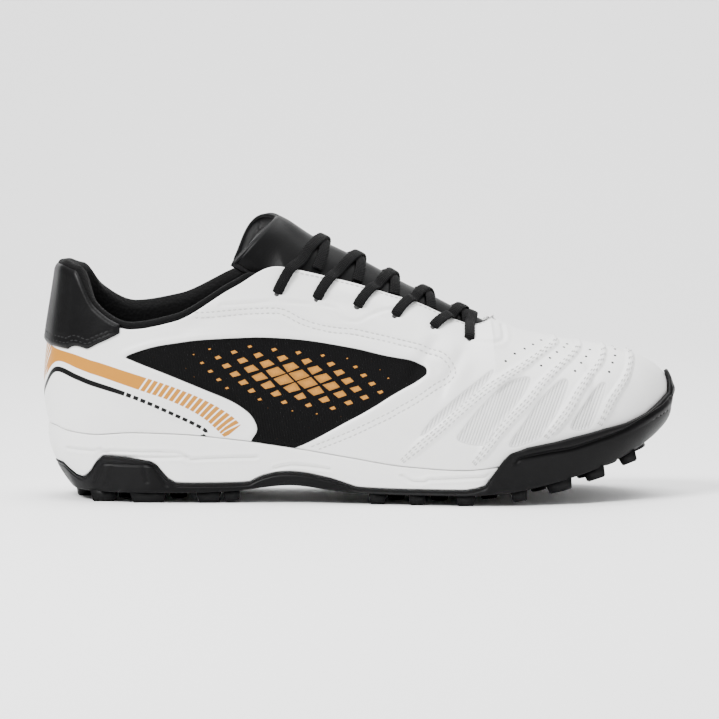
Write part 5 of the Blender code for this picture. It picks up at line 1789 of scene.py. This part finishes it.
def repeat_tree(name, shape, material):
    """Geometry nodes that put a small shape on every point, turned along its tangent and normal."""
    tree = bpy.data.node_groups.new(name, 'GeometryNodeTree')
    tree.interface.new_socket(name="Geometry", in_out='INPUT', socket_type='NodeSocketGeometry')
    for key, default in (("Length", 0.002), ("Width", 0.0006), ("Height", 0.0004)):
        socket = tree.interface.new_socket(name=key, in_out='INPUT', socket_type='NodeSocketFloat')
        socket.default_value = default
        socket.subtype = 'DISTANCE'
    seed = tree.interface.new_socket(name="Seed", in_out='INPUT', socket_type='NodeSocketInt')
    seed.default_value = 7
    tree.interface.new_socket(name="Geometry", in_out='OUTPUT', socket_type='NodeSocketGeometry')
    given = tree.nodes.new('NodeGroupInput')
    result = tree.nodes.new('NodeGroupOutput')
    tangent, normal = [
        node(tree, 'GeometryNodeInputNamedAttribute', {"Name": key}, data_type='FLOAT_VECTOR')
        for key in ("tangent", "normal")]
    turn = node(tree, 'FunctionNodeAxesToRotation', primary_axis='Z', secondary_axis='X')
    tree.links.new(normal.outputs["Attribute"], turn.inputs["Primary Axis"])
    tree.links.new(tangent.outputs["Attribute"], turn.inputs["Secondary Axis"])
    vary = node(tree, 'FunctionNodeRandomValue', data_type='FLOAT')
    vary.inputs[2].default_value = 0.93
    vary.inputs[3].default_value = 1.07
    tree.links.new(given.outputs["Seed"], vary.inputs["Seed"])
    long = math_node(tree, 'MULTIPLY', given.outputs["Length"], vary.outputs[1])
    size = node(tree, 'ShaderNodeCombineXYZ',
                {0: long, 1: given.outputs["Width"], 2: given.outputs["Height"]})
    if shape == 'STITCH':
        source = node(tree, 'GeometryNodeMeshUVSphere', {"Segments": 6, "Rings": 4, "Radius": 0.5})
    else:
        source = node(tree, 'GeometryNodeMeshCylinder', {"Vertices": 12, "Radius": 0.5, "Depth": 1.0})
    put = node(tree, 'GeometryNodeInstanceOnPoints')
    tree.links.new(given.outputs["Geometry"], put.inputs["Points"])
    tree.links.new(source.outputs["Mesh"], put.inputs["Instance"])
    tree.links.new(turn.outputs["Rotation"], put.inputs["Rotation"])
    tree.links.new(size.outputs[0], put.inputs["Scale"])
    real = node(tree, 'GeometryNodeRealizeInstances')
    tree.links.new(put.outputs["Instances"], real.inputs["Geometry"])
    paint = node(tree, 'GeometryNodeSetMaterial')
    paint.inputs["Material"].default_value = material
    tree.links.new(real.outputs["Geometry"], paint.inputs["Geometry"])
    tree.links.new(paint.outputs["Geometry"], result.inputs["Geometry"])
    return tree


def repeated(name, rows, shape, material, size):
    """Plain mesh of a small shape of the given size repeated on the points of several rows."""
    spots, tangents, normals = (np.concatenate(parts) for parts in zip(*rows))
    mesh = bpy.data.meshes.new(name)
    mesh.vertices.add(len(spots))
    mesh.vertices.foreach_set("co", np.asarray(spots, float).ravel())
    for key, values in (("tangent", tangents), ("normal", normals)):
        layer = mesh.attributes.new(key, 'FLOAT_VECTOR', 'POINT')
        layer.data.foreach_set("vector", np.asarray(values, np.float32).ravel())
    thing = bpy.data.objects.new(name, mesh)
    bpy.context.scene.collection.objects.link(thing)
    tree = repeat_tree(name, shape, material)
    set_modifier(thing, tree, {**dict(zip(("Length", "Width", "Height"), size)), "Seed": 7})
    bpy.context.view_layer.update()
    ready = thing.evaluated_get(bpy.context.evaluated_depsgraph_get())
    made = bpy.data.meshes.new_from_object(ready)
    thing.modifiers.clear()
    thing.data = made
    made.shade_smooth()
    return thing


def ring_stitches():
    """Stitches near the throat's edge: their spots, tangents and normals."""
    found = []
    for side in (LATERAL, MEDIAL):
        rows = np.linspace(7.1, 10.9, 400)
        places = on_side(rows, side)
        points = upper_offset(places, np.full(len(rows), THROAT_STITCH_SHARE), 0.0)
        line = even_points(points, THROAT_PITCH)
        lengths = run_along(points)
        at = np.linspace(0, lengths[-1], len(line))
        row = np.interp(at, lengths, rows)
        place = on_side(row, side)
        along = np.full(len(row), THROAT_STITCH_SHARE)
        spots = upper_offset(place, along, THROAT_STITCH_RISE)
        found.append((spots, unit(np.gradient(spots, axis=0)), upper_normal(place, along)))
    return found


def patch_stitches():
    """Double row along the heel patch's lower edge."""
    edge = np.array(PATCH_EDGE)
    last = edge[-1, 0]
    found = []
    for offset in PATCH_ROWS_MM:
        rows = np.linspace(-last * 0.94, last * 0.94, 500)
        along = np.interp(np.abs(rows), edge[:, 0], edge[:, 1]) + offset / PATCH_CURVE_MM
        points = upper_offset(rows % RING, along, 0.0)
        lengths = run_along(points)
        at = np.arange(0.001, lengths[-1], PATCH_PITCH)
        row = np.interp(at, lengths, rows)
        share = np.interp(at, lengths, along)
        spots = upper_offset(row % RING, share, PATCH_STITCH_RISE)
        found.append((spots, unit(np.gradient(spots, axis=0)), upper_normal(row % RING, share)))
    return found


def make_stitch_piece():
    """White and black stitches, the punched holes and the dark of the eyelets."""
    white = thread_material("white_thread", (0.56, 0.56, 0.55), 0.2, 0.5)
    black = thread_material("black_thread", (0.012, 0.012, 0.013), 0.0, 0.2)
    dark = new_material("hole_dark", (0.03, 0.03, 0.03), 0.9)[0]
    pieces = []
    rows = []
    for side in (LATERAL, MEDIAL):
        for path, pitch in stitch_rows():
            rows.append(on_upper(even_points(path, pitch), side, STITCH_RISE_MM))
    rows += ring_stitches()
    pieces.append(repeated("white_stitches", rows, 'STITCH', white, WHITE_STITCH))
    pieces.append(repeated("black_stitches", patch_stitches(), 'STITCH', black, BLACK_STITCH))
    holes = []
    for side in (LATERAL, MEDIAL):
        for points in PUNCHED_ROWS:
            holes.append(on_upper(np.array(points, float), side, HOLE_RISE_MM))
    pieces.append(repeated("punched_holes", holes, 'HOLE', dark, PUNCHED_HOLE))
    eyelets = []
    for share in EYELETS:
        for side in (LATERAL, MEDIAL):
            place, along = eyelet_place(share, side)
            normal = upper_normal(place, along)
            tangent = unit(upper_point(place + 0.02, along) - upper_point(place - 0.02, along))
            spot = upper_offset(place, along, -EYELET_DISC_SUNK)
            eyelets.append((spot[None], tangent[None], normal[None]))
    pieces.append(repeated("eyelet_dark", eyelets, 'HOLE', dark, EYELET_DISC))
    return joined("stitches", pieces)


# Stage
def make_stage(light):
    """Pale floor that curves up behind the shoe, soft lights and the camera."""
    profile = [(FLOOR_FRONT, 0.0), (FLOOR_BACK, 0.0)]
    for turn in np.radians(np.linspace(0, 90, 13)):
        profile.append((FLOOR_BACK + FLOOR_CURVE * math.sin(turn),
                        FLOOR_CURVE - FLOOR_CURVE * math.cos(turn)))
    profile.append((FLOOR_BACK + FLOOR_CURVE, BACKDROP_TOP))
    points = [[(x, y, z) for x in (-FLOOR_HALF_WIDTH, FLOOR_HALF_WIDTH)] for y, z in profile]
    floor_material = new_material("studio_floor", light.floor_color, 0.7)[0]
    floor = mesh_object("studio_floor", np.array(points).reshape(-1, 3),
                        [grid_faces(len(profile), 2, False)], [floor_material])
    for name, place, size, power in (
        ("light_key", (-0.75, -0.75, 1.15), 0.55, light.key),
        ("light_top", (0.25, 0.15, 1.7), 1.3, light.top),
        ("light_fill", (1.2, -1.3, 0.7), 1.6, light.fill),
        ("light_back", (0.1, 1.1, 1.3), 1.4, light.back),
    ):
        lamp = bpy.data.lights.new(name, 'AREA')
        lamp.size = size
        lamp.energy = power
        thing = bpy.data.objects.new(name, lamp)
        thing.location = place
        toward = Vector((0, 0, 0.05)) - Vector(place)
        thing.rotation_euler = toward.to_track_quat('-Z', 'Y').to_euler()
        bpy.context.scene.collection.objects.link(thing)
    world = bpy.data.worlds.new("studio_air")
    world.use_nodes = True
    air = world.node_tree.nodes["Background"]
    air.inputs[0].default_value = (1, 1, 1, 1)
    air.inputs[1].default_value = light.air
    bpy.context.scene.world = world
    lens = bpy.data.cameras.new("photo_camera")
    lens.sensor_width = SENSOR_MM
    lens.lens = SENSOR_MM * VIEW_AWAY / SEEN_WIDTH
    camera = bpy.data.objects.new("photo_camera", lens)
    target = Vector((VIEW_X, 0, VIEW_Z))
    back = Vector((0, -math.cos(VIEW_TILT), math.sin(VIEW_TILT)))
    camera.location = target + back * VIEW_AWAY
    camera.rotation_euler = (-back).to_track_quat('-Z', 'Y').to_euler()
    bpy.context.scene.collection.objects.link(camera)
    bpy.context.scene.camera = camera


# Settings shown in the sidebar
class ShoeSettings(bpy.types.PropertyGroup):
    """Colours and fineness of the shoe's dressed pieces."""

    leather: FloatVectorProperty(name="Leather", description="Colour of the white leather", subtype='COLOR',
                                 min=0, max=1, default=(0.84, 0.84, 0.83))
    black: FloatVectorProperty(name="Black leather", description="Colour of heel patch and tongue",
                               subtype='COLOR', min=0, max=1, default=(0.002, 0.002, 0.0022))
    cloth: FloatVectorProperty(name="Window cloth", description="Colour of the cloth in the side window",
                               subtype='COLOR', min=0, max=1, default=(0.003, 0.003, 0.0032))
    cloth_black: FloatVectorProperty(name="Collar cloth", description="Colour of the collar's lining",
                                     subtype='COLOR', min=0, max=1, default=(0.0022, 0.0022, 0.0024))
    lace: FloatVectorProperty(name="Lace", description="Colour of the lace", subtype='COLOR',
                              min=0, max=1, default=(0.0022, 0.0022, 0.0024))
    gold: FloatVectorProperty(name="Gold", description="Colour of the printed gold", subtype='COLOR',
                              min=0, max=1, default=(0.42, 0.175, 0.022))
    foam: FloatVectorProperty(name="Foam", description="Colour of the midsole", subtype='COLOR',
                              min=0, max=1, default=(0.84, 0.84, 0.83))
    rubber: FloatVectorProperty(name="Rubber", description="Colour of the outsole", subtype='COLOR',
                                min=0, max=1, default=(0.0022, 0.0022, 0.0024))
    stations: IntProperty(name="Stations", description="Steps from heel to toe along each side",
                          default=340, min=60, max=420)
    levels: IntProperty(name="Levels", description="Steps up the upper's wall", default=92, min=20, max=110)
    sole_levels: IntProperty(name="Sole levels", description="Steps up the sole's side", default=40, min=8,
                             max=60)


class StageSettings(bpy.types.PropertyGroup):
    """Lights of the studio."""

    floor_color: FloatVectorProperty(name="Floor", description="Colour of floor and backdrop",
                                     subtype='COLOR', min=0, max=1, default=(0.90, 0.90, 0.90))
    key: FloatProperty(name="Key light", description="Power of the main light", default=44, min=0,
                       unit='POWER')
    top: FloatProperty(name="Top light", description="Power of the light above", default=44, min=0,
                       unit='POWER')
    fill: FloatProperty(name="Fill light", description="Power of the toe side's light", default=10, min=0,
                        unit='POWER')
    back: FloatProperty(name="Back light", description="Power of the light behind", default=10, min=0,
                        unit='POWER')
    air: FloatProperty(name="Air", description="Brightness all round", default=0.45, min=0)


# One operator for each piece
class TURF_OT_upper(bpy.types.Operator):
    """Make the upper's leather, window and seams"""

    bl_idname = "turf_shoe.upper"
    bl_label = "Upper"
    bl_options = {'REGISTER', 'UNDO'}

    def execute(self, context):
        settle(make_upper_piece(context.scene.turf_shoe), "white_leather", "upper")
        return {'FINISHED'}


class TURF_OT_heel_patch(bpy.types.Operator):
    """Make the black heel patch"""

    bl_idname = "turf_shoe.heel_patch"
    bl_label = "Heel patch"
    bl_options = {'REGISTER', 'UNDO'}

    def execute(self, context):
        settle(make_heel_patch_piece(context.scene.turf_shoe), "heel_leather", "heel_patch")
        return {'FINISHED'}


class TURF_OT_collar(bpy.types.Operator):
    """Make the padded collar lining"""

    bl_idname = "turf_shoe.collar"
    bl_label = "Collar"
    bl_options = {'REGISTER', 'UNDO'}

    def execute(self, context):
        settle(make_collar_piece(context.scene.turf_shoe), "collar_cloth", "collar")
        return {'FINISHED'}


class TURF_OT_tongue(bpy.types.Operator):
    """Make the padded tongue"""

    bl_idname = "turf_shoe.tongue"
    bl_label = "Tongue"
    bl_options = {'REGISTER', 'UNDO'}

    def execute(self, context):
        settle(make_tongue_piece(context.scene.turf_shoe), "tongue_cloth", "tongue")
        return {'FINISHED'}


class TURF_OT_insole(bpy.types.Operator):
    """Make the insole"""

    bl_idname = "turf_shoe.insole"
    bl_label = "Insole"
    bl_options = {'REGISTER', 'UNDO'}

    def execute(self, context):
        settle(make_insole_piece(), "insole_cloth", "insole")
        return {'FINISHED'}


class TURF_OT_midsole(bpy.types.Operator):
    """Make the white foam midsole"""

    bl_idname = "turf_shoe.midsole"
    bl_label = "Midsole"
    bl_options = {'REGISTER', 'UNDO'}

    def execute(self, context):
        settle(make_midsole_piece(context.scene.turf_shoe), "white_foam", "midsole")
        return {'FINISHED'}


class TURF_OT_outsole(bpy.types.Operator):
    """Make the rubber outsole with its studs"""

    bl_idname = "turf_shoe.outsole"
    bl_label = "Outsole"
    bl_options = {'REGISTER', 'UNDO'}

    def execute(self, context):
        settle(make_outsole_piece(context.scene.turf_shoe), "black_rubber", "outsole")
        return {'FINISHED'}


class TURF_OT_lace(bpy.types.Operator):
    """Make the lace"""

    bl_idname = "turf_shoe.lace"
    bl_label = "Lace"
    bl_options = {'REGISTER', 'UNDO'}

    def execute(self, context):
        nodes = [f"lace_cross_{number}" for number in range(1, len(EYELETS))]
        settle(make_lace_piece(context.scene.turf_shoe), "lace", "lace_bar", *nodes)
        return {'FINISHED'}


class TURF_OT_stitches(bpy.types.Operator):
    """Make the stitches and the punched holes"""

    bl_idname = "turf_shoe.stitches"
    bl_label = "Stitches"
    bl_options = {'REGISTER', 'UNDO'}

    def execute(self, context):
        settle(make_stitch_piece(), "white_leather")
        return {'FINISHED'}


class TURF_OT_stage(bpy.types.Operator):
    """Make the studio with its lights and camera"""

    bl_idname = "turf_shoe.stage"
    bl_label = "Stage"
    bl_options = {'REGISTER', 'UNDO'}

    def execute(self, context):
        """Make the studio."""
        make_stage(context.scene.turf_stage)
        return {'FINISHED'}


PIECE_OPERATORS = (TURF_OT_outsole, TURF_OT_midsole, TURF_OT_upper, TURF_OT_heel_patch, TURF_OT_collar,
                   TURF_OT_insole, TURF_OT_tongue, TURF_OT_lace, TURF_OT_stitches, TURF_OT_stage)


class TURF_PT_panel(bpy.types.Panel):
    """Buttons for every piece of the turf shoe."""

    bl_idname = "TURF_PT_panel"
    bl_label = "Turf Shoe"
    bl_space_type = 'VIEW_3D'
    bl_region_type = 'UI'
    bl_category = "Turf Shoe"

    def draw(self, context):
        """List the operators and their settings."""
        for operator in PIECE_OPERATORS:
            self.layout.operator(operator.bl_idname)
        for settings, names in ((context.scene.turf_shoe, ShoeSettings.__annotations__),
                                (context.scene.turf_stage, StageSettings.__annotations__)):
            for name in names:
                self.layout.prop(settings, name)


CLASSES = (ShoeSettings, StageSettings, *PIECE_OPERATORS, TURF_PT_panel)


def register():
    """Add the classes and the settings."""
    for each in CLASSES:
        bpy.utils.register_class(each)
    bpy.types.Scene.turf_shoe = PointerProperty(type=ShoeSettings)
    bpy.types.Scene.turf_stage = PointerProperty(type=StageSettings)


def unregister():
    """Take the classes and the settings away."""
    del bpy.types.Scene.turf_stage
    del bpy.types.Scene.turf_shoe
    for each in reversed(CLASSES):
        bpy.utils.unregister_class(each)


def main():
    """Make every piece and the studio."""
    register()
    for operator in PIECE_OPERATORS:
        getattr(bpy.ops.turf_shoe, operator.bl_idname.split(".")[1])()


if __name__ == "__main__":
    main()
